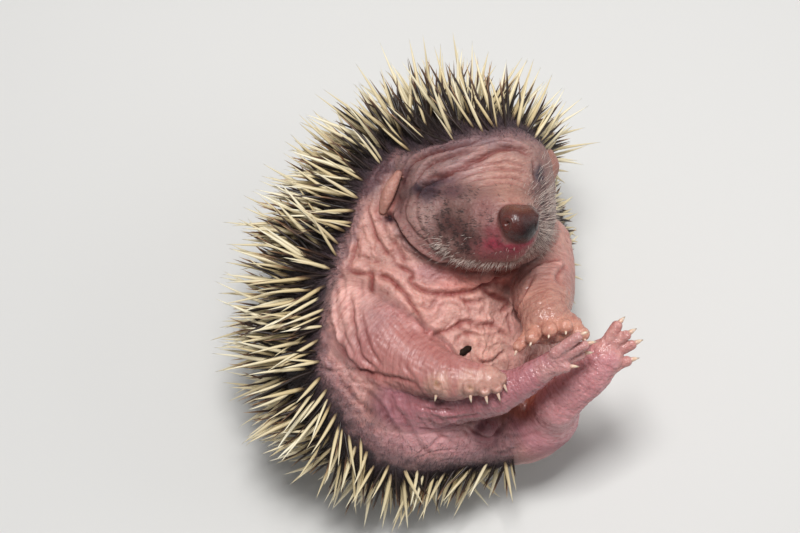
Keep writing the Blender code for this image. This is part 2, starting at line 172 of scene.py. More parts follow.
def merge(a, b, k):
    """Smooth union of two distances, with a fillet about k wide."""
    h = np.maximum(k - np.abs(a - b), 0) / k
    return np.minimum(a, b) - h * h * h * k / 6


def group_distance(p, forms):
    total = form_distance(p, forms[0])
    for form in forms[1:]:
        total = merge(total, form_distance(p, form), form["blend"])
    return total


TRUNK_NORMAL = (0.28, 0.17, 0.945)


def trunk_group():
    return [egg((-4.6, -1.6, -6.2), (26.0, 34.2, 19.0), TRUNK_NORMAL, math.radians(-20)),
            egg((2.0, -24.0, -3.0), (17.0, 8.5, 8.5), (0.1, -0.3, 0.95), blend=4),
            egg((-9.8, 12.0, 2.6), (11.4, 13.5, 9.6), (-0.3, 0.1, 0.93), math.radians(-24), 3),
            egg((0.0, 19.0, -3.0), (17.0, 12.5, 14.0), TRUNK_NORMAL, blend=4),
            egg((2.6, 8.4, 3.0), (17.2, 9.4, 11.2), (0.1, -0.1, 1.0), blend=3)]


def head_group():
    return [egg((4.0, 17.8, 5.0), (14.4, 12.6, 13.0)),
            egg((7.5, 21.5, 11.5), (9.6, 7.4, 7.5), blend=5),
            egg((-0.8, 12.2, 11.0), (8.5, 7.3, 8.2), blend=5),
            egg((12.3, 13.0, 12.0), (5.8, 7.8, 8.4), blend=5),
            limb([(4.5, 13.2, 14.5, 9.4), (7.6, 11.6, 19.8, 7.0), (9.8, 10.8, 24.0, 4.7),
                  (10.7, 11.2, 26.6, 3.6)], blend=3.5),
            limb([(3.6, 10.2, 12.3, 5.0), (7.2, 8.3, 18.0, 3.5), (9.4, 8.2, 22.2, 2.4)], blend=2.0)]


NOSE_CENTRE = np.array((10.9, 11.4, 27.5))
NOSE_RADII = (3.2, 3.1, 3.15)
NOSE_NORMAL = (0.40, -0.15, 0.90)


def nose_group():
    """A dome whose upper edge is nearly straight between two square shoulders."""
    shoulders = [egg(NOSE_CENTRE + (x, 1.0, z), (2.2, 2.3, 2.8), NOSE_NORMAL, blend=1.4)
                 for x, z in ((-1.15, 0.3), (1.15, -0.5))]
    return [egg(NOSE_CENTRE + (0, -0.3, 0), NOSE_RADII, NOSE_NORMAL)] + shoulders


def ear_groups():
    return [[limb([(-12.0, 14.0, 12.3, 0.7), (-11.4, 16.0, 12.9, 1.15), (-10.5, 18.2, 12.9, 1.15),
                   (-9.3, 20.4, 12.2, 0.7)], flat=(-0.45, 0.1, 0.88), thin=0.8)],
            [limb([(17.6, 20.2, 8.5, 1.0), (17.9, 22.0, 8.6, 1.6), (17.4, 23.8, 8.0, 1.2)],
                  flat=(0.8, 0.1, 0.55), thin=0.6)]]


def lid_groups():
    return [[egg((-2.6, 17.3, 17.0), (2.7, 1.5, 1.0), (-0.42, 0.12, 0.9), 0.5)],
            [egg((15.6, 18.6, 15.3), (1.3, 2.2, 1.0), (0.75, 0.2, 0.62))]]


FORE_RIGHT = {
    "upper": [(-17.0, 2.2, 1.0, 7.2), (-15.6, -3.0, 4.8, 8.4), (-13.4, -7.4, 7.4, 8.0)],
    "lower": [(-12.8, -8.0, 8.0, 7.4), (-8.6, -11.4, 11.2, 6.3), (-3.6, -13.9, 15.0, 4.6),
              (0.0, -15.0, 17.4, 3.7)],
    "palm": [(-0.4, -14.8, 17.8, 3.5), (3.4, -15.0, 19.0, 2.9), (6.0, -15.0, 19.3, 2.3)],
    "palm_flat": (0.1, 0.2, 0.97),
    "toes": [[(-0.8, -15.2, 18.8, 1.7), (-2.5, -16.2, 19.4, 1.6)],
             [(2.6, -15.4, 19.6, 1.6), (2.8, -16.5, 20.8, 1.35)],
             [(4.8, -15.6, 19.8, 1.5), (5.4, -16.8, 20.8, 1.2)],
             [(6.4, -15.2, 19.6, 1.4), (7.4, -16.4, 20.4, 1.15)],
             [(6.8, -14.4, 19.2, 1.3), (8.3, -15.0, 19.4, 1.1)]],
    "claw_way": (0.12, -0.95, 0.1), "claw_curl": (0, 0, -1), "claw_size": (2.1, 0.31),
}
FORE_LEFT = {
    "upper": [(16.0, 7.6, -1.0, 6.0), (16.2, 2.6, 4.0, 5.9), (16.2, -0.8, 8.6, 5.0)],
    "lower": [(16.2, -0.6, 9.0, 4.9), (16.2, -3.0, 12.6, 4.4), (16.2, -5.2, 15.2, 3.8)],
    "palm": [(15.2, -6.2, 15.4, 2.7), (17.4, -5.9, 15.8, 2.9), (20.2, -6.3, 15.4, 2.4)],
    "palm_flat": (0.0, 0.15, 0.98),
    "toes": [[(13.6, -7.6, 15.6, 1.35), (11.3, -9.6, 17.0, 0.95)],
             [(14.8, -7.0, 16.6, 1.5), (13.7, -7.9, 18.6, 1.3)],
             [(16.8, -6.4, 17.0, 1.6), (16.6, -6.6, 19.2, 1.4)],
             [(19.0, -6.2, 16.6, 1.5), (19.4, -6.1, 18.6, 1.3)],
             [(20.8, -6.8, 15.4, 1.45), (22.6, -7.4, 16.4, 1.2)]],
    "toe_blend": 0.7,
    "claw_way": (-0.1, -0.85, 0.5), "claw_curl": (0, 0.3, -1), "claw_size": (1.7, 0.27),
}
HIND_RIGHT = {
    "upper": [(-8.0, -21.5, -2.0, 8.6), (-11.6, -18.8, 3.4, 7.6), (-10.6, -18.2, 6.4, 6.4)],
    "lower": [(-10.0, -18.2, 7.4, 6.0), (-4.4, -18.7, 10.2, 4.9), (2.4, -18.6, 12.2, 4.3),
              (7.0, -17.8, 13.8, 3.9)],
    "palm": [(8.2, -17.5, 14.2, 3.7), (12.4, -15.6, 16.4, 2.9), (15.8, -13.2, 18.2, 2.3),
             (18.0, -11.5, 19.6, 1.8)],
    "palm_flat": (0.45, 0.75, 0.45),
    "toes": [[(15.8, -13.5, 18.9, 1.3), (19.4, -13.0, 20.3, 0.9)],
             [(18.2, -12.1, 18.8, 1.15), (22.0, -10.9, 19.0, 0.85)],
             [(18.3, -11.2, 20.2, 1.2), (22.5, -9.2, 20.9, 0.85)],
             [(17.6, -10.5, 20.9, 1.15), (21.2, -7.7, 22.5, 0.85)]],
    "toe_blend": 0.5,
    "claw_way": (0.8, 0.5, 0.1), "claw_curl": (0.3, -0.8, -0.2), "claw_size": (1.8, 0.40),
}
HIND_LEFT = {
    "upper": [(6.0, -24.0, -4.0, 7.6), (13.2, -24.4, -3.4, 7.2), (17.0, -22.8, -2.2, 6.0)],
    "lower": [(17.4, -22.4, -1.4, 5.4), (18.4, -21.6, 2.8, 4.1), (18.8, -20.6, 5.8, 3.4)],
    "palm": [(18.6, -20.2, 7.2, 3.8), (21.4, -17.2, 9.2, 3.8), (24.1, -14.6, 10.9, 3.7),
             (26.3, -11.9, 12.0, 3.4)],
    "palm_flat": (-0.30, -0.28, 0.91),
    "toes": [[(26.6, -9.8, 12.8, 1.35), (28.7, -6.1, 13.9, 0.98)],
             [(27.9, -9.6, 12.8, 1.1), (30.3, -7.7, 13.9, 0.9)],
             [(28.4, -10.8, 12.4, 1.1), (31.3, -9.4, 13.2, 0.9)],
             [(27.8, -13.0, 11.6, 1.35), (30.6, -12.3, 12.2, 0.95)]],
    "claw_way": (0.78, 0.60, 0.05), "claw_curl": (0.2, -0.3, -0.7), "claw_size": (1.8, 0.46),
}
LEGS = {"fore_right": FORE_RIGHT, "fore_left": FORE_LEFT,
        "hind_right": HIND_RIGHT, "hind_left": HIND_LEFT}
TAIL = [(5.8, -25.8, 1.4, 2.6), (6.0, -24.9, 4.4, 2.1), (6.2, -24.4, 6.3, 1.3)]


def leg_group(leg):
    return [limb(leg["upper"]), limb(leg["lower"], blend=3.0),
            limb(leg["palm"], flat=leg["palm_flat"], thin=0.72, blend=2.2)]


def toes_group(leg):
    return [limb(toe, blend=leg.get("toe_blend", 0.25), samples=1) for toe in leg["toes"]]


# Each group keeps its own shape inside and joins the rest with its own fillet.
GROUPS = {"trunk": (trunk_group(), 1.0), "head": (head_group(), 2.0), "nose": (nose_group(), 0.5)}
for side, group in zip(("right", "left"), ear_groups()):
    GROUPS["ear_" + side] = (group, 0.8)
for side, group in zip(("right", "left"), lid_groups()):
    GROUPS["lid_" + side] = (group, 0.6)
for leg_name, leg in LEGS.items():
    GROUPS["leg_" + leg_name] = (leg_group(leg), 1.6)
    GROUPS["toes_" + leg_name] = (toes_group(leg), 0.9)
GROUPS["tail"] = ([limb(TAIL)], 1.2)
GROUP_NAMES = list(GROUPS)
WIDEST_FILLET = 2.4  # millimetres, with room to spare


def distance(p, reach=None):
    """Distance to the skin's base shape. With reach, groups are only read where they matter."""
    p = np.asarray(p, F)
    total = None
    for k, (forms, blend) in enumerate(GROUPS.values()):
        here = slice(None) if reach is None else reach[:, k]
        d = np.full(len(p), FAR, F)
        d[here] = group_distance(p[here], forms)
        total = d if total is None else merge(total, d, blend)
    return total


def group_table(p):
    p = np.asarray(p, F)
    return np.stack([group_distance(p, GROUPS[name][0]) for name in GROUP_NAMES], axis=1)


def to_group(each, name):
    """The distance to one group, out of those that group_table gives."""
    return each[:, GROUP_NAMES.index(name)]


def past_others(each, name):
    """How much further one group is than the nearest of the others."""
    others = np.delete(each, GROUP_NAMES.index(name), axis=1)
    return to_group(each, name) - others.min(axis=1)


def in_reach(each, slack):
    """Which groups could matter within slack of points, from their distances to each group."""
    return each < each.min(axis=1, keepdims=True) + WIDEST_FILLET + 2 * slack


def reach_of(p, slack):
    return in_reach(group_table(p), slack)


# ---- the base mesh
def base_mesh():
    """Vertices and quads of the smooth union, from a grid that is fine only near the surface."""
    low, high = np.array((-33.0, -37.0, -28.0)), np.array((34.0, 34.0, 34.0))
    count = np.ceil((high - low) / VOXEL / BLOCK).astype(int)
    step = VOXEL * BLOCK
    index = np.argwhere(np.ones(count, bool))
    centres = low + (index + 0.5) * step - VOXEL / 2
    half = step * 0.87  # from a block's centre to its corner
    each = group_table(centres)
    rough = each.min(axis=1)
    near = np.abs(rough) < half + 2.0
    chosen = index[near]
    field = np.repeat(np.repeat(np.repeat(rough.reshape(*count), BLOCK, 0), BLOCK, 1), BLOCK, 2)
    field = field.astype(F)
    reach = in_reach(each[near], half)
    # A block is dropped again where the smooth union at its centre is far away
    core = distance(centres[near], reach)
    keep = np.abs(core) < half + 0.25 * step
    chosen, reach = chosen[keep], reach[keep]
    offsets = np.argwhere(np.ones((BLOCK, BLOCK, BLOCK), bool))
    nodes = (chosen[:, None, :] * BLOCK + offsets).reshape(-1, 3)
    values = distance(low + nodes * VOXEL, np.repeat(reach, BLOCK ** 3, axis=0))
    field[nodes[:, 0], nodes[:, 1], nodes[:, 2]] = values
    return surface_nets(field, low)


def surface_nets(field, low):
    """One vertex in each cell that the surface crosses, and one quad for each crossed edge."""
    inside = field < 0
    nx, ny, nz = field.shape

    def shifted(a, i, j, k):
        return a[i:nx - 1 + i, j:ny - 1 + j, k:nz - 1 + k]

    total = sum(shifted(inside, *c).astype(np.uint8) for c in CORNERS)
    cell = np.argwhere((total > 0) & (total < 8))
    number = np.full((nx - 1, ny - 1, nz - 1), -1, np.int32)
    number[tuple(cell.T)] = np.arange(len(cell))
    value = {c: field[cell[:, 0] + c[0], cell[:, 1] + c[1], cell[:, 2] + c[2]] for c in CORNERS}
    spot = np.zeros((len(cell), 3))
    hits = np.zeros(len(cell))
    for a in CORNERS:
        for axis in range(3):
            if a[axis]:
                continue
            b = tuple(v + (k == axis) for k, v in enumerate(a))
            va, vb = value[a], value[b]
            crossed = (va < 0) != (vb < 0)
            t = np.where(crossed, va / np.where(crossed, va - vb, 1), 0)
            point = np.array(a, float) + t[:, None] * np.eye(3)[axis]
            spot += np.where(crossed[:, None], point, 0)
            hits += crossed
    verts = low + (cell + spot / hits[:, None]) * VOXEL
    quads = []
    for axis in range(3):
        u, v = (axis + 1) % 3, (axis + 2) % 3
        a = [slice(None)] * 3
        b = [slice(None)] * 3
        a[axis], b[axis] = slice(0, -1), slice(1, None)
        first, second = inside[tuple(a)], inside[tuple(b)]
        edge = np.argwhere(first != second)
        edge = edge[(edge[:, u] > 0) & (edge[:, v] > 0)]
        edge = edge[(edge[:, u] < inside.shape[u] - 1) & (edge[:, v] < inside.shape[v] - 1)]
        ring = []
        for du, dv in ((1, 1), (0, 1), (0, 0), (1, 0)):
            c = edge.copy()
            c[:, u] -= du
            c[:, v] -= dv
            ring.append(number[tuple(c.T)])
        ring = np.stack(ring, axis=1)
        flip = ~first[tuple(edge.T)]
        ring[flip] = ring[flip][:, ::-1]
        quads.append(ring)
    quads = np.vstack(quads)
    return verts, quads[(quads >= 0).all(axis=1)]


def gathered(index, vectors, count):
    """The sum of the vectors that belong to each of count points."""
    return np.stack([np.bincount(index, vectors[:, k], count) for k in range(3)], axis=1)


def settle(verts, quads, rounds):
    """Even out the mesh along the surface and put it back on the smooth union."""
    edges = np.vstack([quads[:, [k, (k + 1) % 4]] for k in range(4)])
    count = np.bincount(edges.ravel(), minlength=len(verts))
    reach = reach_of(verts, VOXEL)
    for _ in range(rounds):
        mean = (gathered(edges[:, 0], verts[edges[:, 1]], len(verts))
                + gathered(edges[:, 1], verts[edges[:, 0]], len(verts))) / count[:, None]
        verts = project(verts + 0.6 * (mean - verts), reach)
    return verts


def gradient(p, reach, step=0.06):
    return np.stack([(distance(p + e, reach) - distance(p - e, reach)) / (2 * step)
                     for e in step * np.eye(3)], axis=1)


def project(p, reach=None):
    """One Newton step on to the smooth union."""
    if reach is None:
        reach = reach_of(p, VOXEL)
    d = distance(p, reach)
    g = gradient(p, reach)
    length = np.maximum((g * g).sum(1), 0.15)
    return p - np.clip(d / length, -VOXEL, VOXEL)[:, None] * g


def refine(verts, quads, fans, chosen):
    """Cut the chosen quads in four. Uncut neighbours become fans of triangles."""
    size = len(verts)
    cut = quads[chosen]
    pairs = np.sort(np.stack([cut, np.roll(cut, -1, axis=1)], axis=-1).reshape(-1, 2), axis=1)
    keys, place_of = np.unique(pairs[:, 0].astype(np.int64) * size + pairs[:, 1],
                               return_inverse=True)
    middle = size + place_of.reshape(-1, 4)
    centre = size + len(keys) + np.arange(len(cut))
    verts = np.vstack([verts, (verts[keys // size] + verts[keys % size]) / 2,
                       verts[cut].mean(axis=1)])
    small = [np.stack([cut[:, k], middle[:, k], centre, middle[:, k - 1]], axis=1)
             for k in range(4)]
    rest = quads[~chosen]
    split = np.full(rest.shape, -1, np.int64)
    for k in range(4):
        pair = np.sort(rest[:, [k, (k + 1) % 4]], axis=1)
        key = pair[:, 0].astype(np.int64) * size + pair[:, 1]
        at = np.minimum(np.searchsorted(keys, key), len(keys) - 1)
        split[:, k] = np.where(keys[at] == key, size + at, -1)
    beside = (split >= 0).any(axis=1)
    tips, triangles = [], []
    for quad, halves in zip(rest[beside], split[beside]):
        ring = [v for k in range(4) for v in (quad[k], halves[k]) if v >= 0]
        hub = len(verts) + len(tips)
        tips.append(verts[quad].mean(axis=0))
        triangles += [(a, b, hub) for a, b in zip(ring, ring[1:] + ring[:1])]
    if tips:
        verts = np.vstack([verts, tips])
        fans = np.vstack([fans, triangles])
    return verts, np.vstack([rest[~beside]] + small), fans


def vertex_normals(verts, faces):
    """Normals at the points of a mesh given as one or more arrays of faces."""
    total = np.zeros((len(verts), 3))
    for part in faces:
        n = np.cross(verts[part[:, 2]] - verts[part[:, 0]],
                     verts[part[:, -1]] - verts[part[:, 1]])
        for column in part.T:
            total += gathered(column, n, len(verts))
    return unit(total)


# The values on points that aren't single numbers, with their kind and field
KINDS = {"tint": ("FLOAT_COLOR", "color"), "flow": ("FLOAT_VECTOR", "vector")}


def added(name, data):
    """A new object of the data, in the scene."""
    obj = bpy.data.objects.new(name, data)
    bpy.context.scene.collection.objects.link(obj)
    return obj


def mesh_object(name, verts, faces, attributes=None):
    """A smooth object of a mesh in the body frame, with values stored on its points."""
    mesh = bpy.data.meshes.new(name)
    corners = np.concatenate([part.ravel() for part in faces]).astype(np.int32)
    sides = np.concatenate([np.full(len(part), part.shape[1]) for part in faces])
    mesh.vertices.add(len(verts))
    mesh.vertices.foreach_set("co", place(verts).astype(F).ravel())
    mesh.loops.add(len(corners))
    mesh.loops.foreach_set("vertex_index", corners)
    mesh.polygons.add(len(sides))
    starts = np.concatenate([[0], np.cumsum(sides)[:-1]]).astype(np.int32)
    mesh.polygons.foreach_set("loop_start", starts)
    mesh.update(calc_edges=True)
    mesh.validate()
    for key, values in (attributes or {}).items():
        values = np.asarray(values, F)
        kind, field = KINDS.get(key, ("FLOAT", "value"))
        if field == "color":
            values = np.column_stack([values, np.ones(len(values), F)])
        mesh.attributes.new(key, kind, "POINT").data.foreach_set(field, values.ravel())
    mesh.shade_smooth()
    return added(name, mesh)


def dressed(obj, look):
    obj.data.materials.append(look)
    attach(obj, "root")
    return obj


# ---- where the coat begins
TRUNK_CENTRE = np.array((-4.6, -1.6, -6.2))
TRUNK_AXES = frame_from(TRUNK_NORMAL)
BACK_POLE = -TRUNK_AXES[:, 2]
# The rim where bare skin meets the spiny skin, round the body from the brow
RIM = np.array([(6, 27, 16.5), (-1.5, 25.5, 14.5), (-9.5, 24, 8.5), (-15, 19.5, 8.5),
                (-17, 14, 9.5), (-19, 7.5, 9.5), (-21, 0.5, 11), (-22, -5, 11.5),
                (-23, -13.5, 11.5), (-20.5, -19.5, 11.5), (-17, -25.5, 10.5),
                (-11, -30.5, 7.5), (-1.5, -32, 3.5), (8, -31, 0), (16.5, -28.5, 1.5),
                (22, -19, -8), (24, -6, -10), (22.5, 6, -8), (20.5, 16, -3),
                (18.5, 23, 5), (13.5, 27, 11.5)])


def round_and_up(p):
    """The angle round the belly's axis, and the angle above the body's equator."""
    q = (np.asarray(p, float) - TRUNK_CENTRE) @ TRUNK_AXES
    return np.arctan2(q[:, 1], q[:, 0]), np.arctan2(q[:, 2], np.hypot(q[:, 0], q[:, 1]))


RIM_ROUND, RIM_UP = round_and_up(RIM)
RIM_SCALE = 27.0  # millimetres along the skin for one radian


def below_rim(p):
    """Millimetres along the skin from the rim into the coat; negative on bare skin."""
    around, up = round_and_up(p)
    threshold = np.interp(around, RIM_ROUND, RIM_UP, period=2 * math.pi)
    return (threshold - up) * RIM_SCALE


def lean_back(normals):
    """The direction along the skin that leads from the rim over the back."""
    return unit(BACK_POLE - normals * (normals @ BACK_POLE)[:, None])


# ---- folds of the skin
# Each fold is (depth, half width, points along it), in millimetres.
FOLDS = {
    "jaw": (1.1, 0.5, [(-11, 13.5, 12), (-9, 10.5, 14), (-7, 7.5, 15), (-2.5, 5, 15), (0.5, 4.5, 15.5)]),
    "brow": (0.85, 0.5, [(-5.5, 17.5, 16), (-4.5, 18.5, 16), (-3.5, 19.5, 16.5), (0, 20.5, 19),
        (6, 23.5, 19), (10, 24.5, 18), (13.5, 23, 17)]),
    "brow_end": (0.8, 0.5, [(-6, 15.5, 16), (-5.5, 17.5, 16), (-4, 18.5, 17), (-1, 19.5, 18.5),
        (1, 19.5, 19.5)]),
    "temple": (0.75, 0.45, [(-8, 20.5, 11.5), (-6.5, 22.5, 12.5), (-3, 24, 14.5), (1.5, 25, 17),
        (5, 26, 17.5)]),
    "temple_low": (0.6, 0.4, [(-6.5, 18.5, 14), (-4, 21.5, 15), (-0.5, 23, 16.5), (3.5, 24, 18)]),
    "cheek_outer": (0.28, 0.4, [(-7, 17, 14.5), (-8, 13.5, 15), (-6.5, 10, 17), (-5, 8.5, 17.5),
        (-1, 5.5, 17)]),
    "cheek_inner": (0.18, 0.4, [(-6, 15.5, 16.5), (-5.5, 11, 18), (-2.5, 7.5, 18.5)]),
    "forehead_1": (0.40, 0.34, [(0.5, 20.5, 19.5), (8.5, 22, 19), (13.5, 21, 18)]),
    "forehead_2": (0.42, 0.34, [(1, 19, 20.5), (3.5, 20, 20.5), (9, 21, 19.5), (13.5, 20, 18)]),
    "forehead_3": (0.38, 0.32, [(2, 18.5, 22), (7, 19.5, 21.5), (10, 19.5, 20), (13.5, 18.5, 18.5)]),
    "forehead_4": (0.30, 0.32, [(3, 17, 23), (7.5, 18.5, 22.5), (13, 17.5, 19.5)]),
    "forehead_5": (0.34, 0.35, [(0, 22.5, 17.5), (2.5, 23.5, 18), (8, 25, 18.5), (13, 24, 17)]),
    "forehead_6": (0.36, 0.35, [(3, 24.5, 17.5), (9.5, 25.5, 17.5), (13.5, 23.5, 17)]),
    "lid_left": (0.4, 0.35, [(14, 23, 17), (14, 19.5, 17.5), (14, 18, 18.5)]),
    "lid_right": (0.45, 0.28, [(-5.5, 16.5, 17), (-3.5, 17, 18), (-1.5, 16.5, 20)]),
    "chin": (1.2, 0.6, [(0.5, 4.5, 15.5), (4, 4, 14.5), (8.5, 4.5, 13.5), (12.5, 5.5, 13), (15, 8, 13.5)]),
    "neck_roll": (0.55, 0.45, [(-10, 12.5, 12.5), (-7, 7.5, 14.5), (-4.5, 6, 15), (0.5, 3.5, 14.5)]),
    "roll_lower": (0.9, 0.5, [(-7, 2, 13), (-6, 0.5, 13.5), (-2.5, -0.5, 13), (3.5, 0, 11), (10, 3, 10.5)]),
    "roll_left": (0.6, 0.42, [(-10.5, 5, 12.5), (-7, 3, 13), (-7, 1.5, 13), (-5, -0.5, 13.5)]),
    "arm_chest": (0.85, 0.45, [(-14, 3.5, 12.5), (-9.5, 1, 13.5), (-4.5, -6, 14.5)]),
    "armpit": (0.9, 0.5, [(-14, 3.5, 12.5), (-14, -0.5, 13.5)]),
    "cape_loop": (0.6, 0.42, [(-14, 3.5, 12.5), (-15.5, 3, 12.5), (-17.5, 3.5, 11.5), (-17.5, 5, 11),
        (-16.5, 8.5, 10.5), (-17, 9.5, 10)]),
    "cape_inner": (0.35, 0.35, [(-16.5, 8.5, 10.5), (-16, 7, 11), (-17, 4, 11.5)]),
    "cape_long": (0.5, 0.42, [(-15, 15, 10.5), (-13, 9, 12), (-9.5, 5, 12.5)]),
    "cape_mid": (0.35, 0.45, [(-12.5, 12, 12), (-7.5, 4, 13)]),
    "shoulder_1": (0.24, 0.36, [(-19.5, 3, 11), (-18.5, 1.5, 12), (-20.5, -2, 12)]),
    "shoulder_2": (0.24, 0.36, [(-20, 1, 11.5), (-19.5, -6.5, 13.5)]),
    "shoulder_3": (0.3, 0.36, [(-17.5, 0, 13), (-17, -6.5, 15)]),
    "chest_1": (0.6, 0.38, [(1, -1, 12), (3, -2, 11.5), (6, -1.5, 10)]),
    "chest_2": (0.65, 0.38, [(5.5, 1, 10.5), (6.5, -0.5, 10), (10, -2, 8), (8.5, -4, 9)]),
    "chest_4": (0.45, 0.4, [(-2.5, -0.5, 13), (-4, -3, 13.5), (-6.5, -2.5, 14)]),
    "chest_6": (0.4, 0.36, [(3, -6, 12), (6.5, -6.5, 10), (8.5, -5.5, 9)]),
    "belly_1": (0.55, 0.42, [(-3.5, -7.5, 16), (-1, -7, 13), (2, -5.5, 12), (4, -6, 11.5)]),
    "belly_2": (0.5, 0.38, [(4, -6, 11.5), (7, -6, 10), (10, -8.5, 8)]),
    "navel_ring": (0.3, 0.4, [(0, -10, 12.5), (1, -8.5, 12.5), (2.5, -7.5, 12), (4.5, -8, 11),
        (5, -9.5, 11), (4, -11, 11)]),
    "belly_3": (0.5, 0.38, [(4, -11, 11), (5, -12.5, 10.5), (6.5, -12.5, 9.5), (9.5, -11, 8)]),
    "belly_7": (0.45, 0.36, [(9.5, -2, 8), (10.5, -8, 7.5)]),
    "belly_8": (0.45, 0.36, [(-6.5, -4.5, 14), (-3.5, -7, 15.5)]),
    "side_1": (0.6, 0.42, [(14.5, 2.5, 12.5), (13.5, -0.5, 13.5), (12.5, -2.5, 13), (12, -5, 6.5)]),
    "side_2": (0.55, 0.42, [(20, 6, 8.5), (16, 5, 10.5), (13.5, 3, 11)]),
    "side_3": (0.45, 0.45, [(18.5, 1.5, 14), (19, 3.5, 12.5), (21, 5, 8.5)]),
    "arm_1": (0.40, 0.36, [(-17.5, -1, 13), (-16.5, -8.5, 15.5), (-15.5, -11.5, 15), (-12.5, -14, 15.5)]),
    "arm_2": (0.35, 0.34, [(-16, -2.5, 14.5), (-14.5, -9, 16), (-12, -13.5, 16.5)]),
    "arm_under": (0.4, 0.5, [(-21.5, -2.5, 11.5), (-20, -8.5, 13), (-17, -12.5, 14), (-15, -14, 14),
        (-7.5, -15.5, 18), (-6, -16.5, 18), (-4.5, -18, 16)]),
    "arm_3": (0.22, 0.34, [(-19.5, -2, 12.5), (-18.5, -7.5, 14), (-16, -12, 14.5)]),
    "arm_4": (0.3, 0.32, [(-8.5, -13, 18.5), (-6.5, -15, 19)]),
    "thigh_1": (0.25, 0.4, [(-5, -21, 14.5), (0, -22, 14.5), (5.5, -21, 16)]),
    "thigh_2": (0.28, 0.36, [(-4.5, -22.5, 13.5), (-2.5, -23, 12.5), (0.5, -23, 13), (2, -22.5, 14)]),
    "thigh_3": (0.3, 0.36, [(-5.5, -19.5, 15), (-4, -20.5, 15), (0.5, -20.5, 15.5)]),
    "rump_1": (0.22, 0.5, [(-4.5, -22, 13.5), (-1, -22.5, 13.5), (2, -24.5, 8), (3.5, -27, 5.5)]),
    "rump_2": (0.25, 0.5, [(-6, -24, 11.5), (-2.5, -25, 10), (0.5, -27, 7.5)]),
    "rump_3": (0.22, 0.5, [(8.5, -25, 4.5), (12.5, -26, 3.5), (16.5, -24.5, 5)]),
    "rump_4": (0.28, 0.55, [(-16.5, -16.5, 13.5), (-13, -19, 13.5), (-10.5, -23, 12.5), (-8.5, -26, 10.5)]),
    "rump_5": (0.25, 0.55, [(-20, -14.5, 12.5), (-17, -18.5, 13), (-13, -22, 12.5)]),
    "rump_6": (0.28, 0.55, [(-11.5, -18, 14), (-8.5, -22, 13), (-5.5, -27, 10), (-2.5, -29.5, 6.5)]),
    "rump_7": (0.2, 0.5, [(4.5, -27.5, 5), (8.5, -29, 2.5), (13.5, -27.5, 3)]),
    "tail_edge": (0.35, 0.45, [(2.5, -22.5, 9), (4, -25, 7), (6.5, -26, 6), (9, -24.5, 4.5),
        (9.5, -22.5, 4.5)]),
}
FOLD_STEP = 0.25  # between the points that a fold is read at

# Pits are (centre, depth, half width, height of the ring round it, radius of the ring)
NOSTRIL_RIGHT = (8.6, 11.3, 30.1)
NOSTRIL_LEFT = (14.3, 11.6, 27.9)
PITS = {
    "nostril_right": (NOSTRIL_RIGHT, 0.8, 0.42, 0.26, 1.25),
    "nostril_left": (NOSTRIL_LEFT, 0.8, 0.42, 0.2, 1.25),
    "ear_right_opening": ((-11.0, 12.9, 11.9), 0.8, 0.6, 0.0, 1.0),
    "ear_left_opening": ((16.6, 20.4, 11.2), 0.8, 0.6, 0.0, 1.0),
}


def fold_line(points):
    """Close points along a smooth run, laid on the base skin."""
    p = np.array(points, float)
    p = spline(np.column_stack([p, np.zeros(len(p))]), 12)[:, :3]
    length = np.concatenate([[0], np.cumsum(np.linalg.norm(np.diff(p, axis=0), axis=1))])
    stops = np.linspace(0, length[-1], max(3, int(length[-1] / FOLD_STEP)))
    p = np.stack([np.interp(stops, length, p[:, k]) for k in range(3)], axis=1)
    for _ in range(3):
        p = project(p)
    return p, stops / max(length[-1], 1e-6)


def left_of(line):
    """At each point of a line on the skin, the way along the skin to its left."""
    ahead = unit(np.gradient(line, axis=0))
    return unit(np.cross(unit(gradient(line, reach_of(line, VOXEL))), ahead))


def nearest_on(p, line, reach):
    """Indices of the points within reach of a line, their distances and the nearest share."""
    low, high = line.min(axis=0) - reach, line.max(axis=0) + reach
    index = np.flatnonzero(((p > low) & (p < high)).all(axis=1))
    d2 = ((p[index][:, None, :] - line[None]) ** 2).sum(axis=2)
    best = d2.argmin(axis=1)
    return index, np.sqrt(d2[np.arange(len(index)), best]), best


def folds(p):
    """How far the folds move each point along its normal, and how deep in a fold or pit it is, which sets
    the painted shade there.
    """
    rise, deep = np.zeros(len(p)), np.zeros(len(p))
    wander = warp(p, 1.6, 0.16, 900)
    for depth, width, points in FOLDS.values():
        line, share = fold_line(points)
        index, d, best = nearest_on(wander, line, 6 * width)
        if not len(index):
            continue
        taper = np.minimum(1, 5 * np.minimum(share, 1 - share) + 0.12)[best]
        # The groove has a high roll on its left and a low one on its right, up to its ends
        side = ((wander[index] - line[best]) * left_of(line)[best]).sum(axis=1)
        roll = 0.55 * bell((side - 1.9 * width) / (1.7 * width))
        slope = 0.16 * bell((side + 2.4 * width) / (1.4 * width))
        end = bell(np.maximum(0, d - np.abs(side)) / width)
        rise[index] += taper * depth * ((roll + slope) * end - bell(d / width))
        # painted shade along the groove, stronger for deeper folds
        dark = taper * bell(d / (0.75 * width)) * min(1.0, (depth / 0.75) ** 1.4)
        deep[index] = np.maximum(deep[index], dark)
    for centre, depth, width, ring, radius in PITS.values():
        d = apart(p, centre)
        rise -= depth * bell(d / width)
        rise += ring * bell((d - radius) / (0.28 * radius))
        deep = np.maximum(deep, bell(d / width))
    return rise, deep


COURSE_BLEND = 0.8  # millimetres over which one stretch of a leg hands over


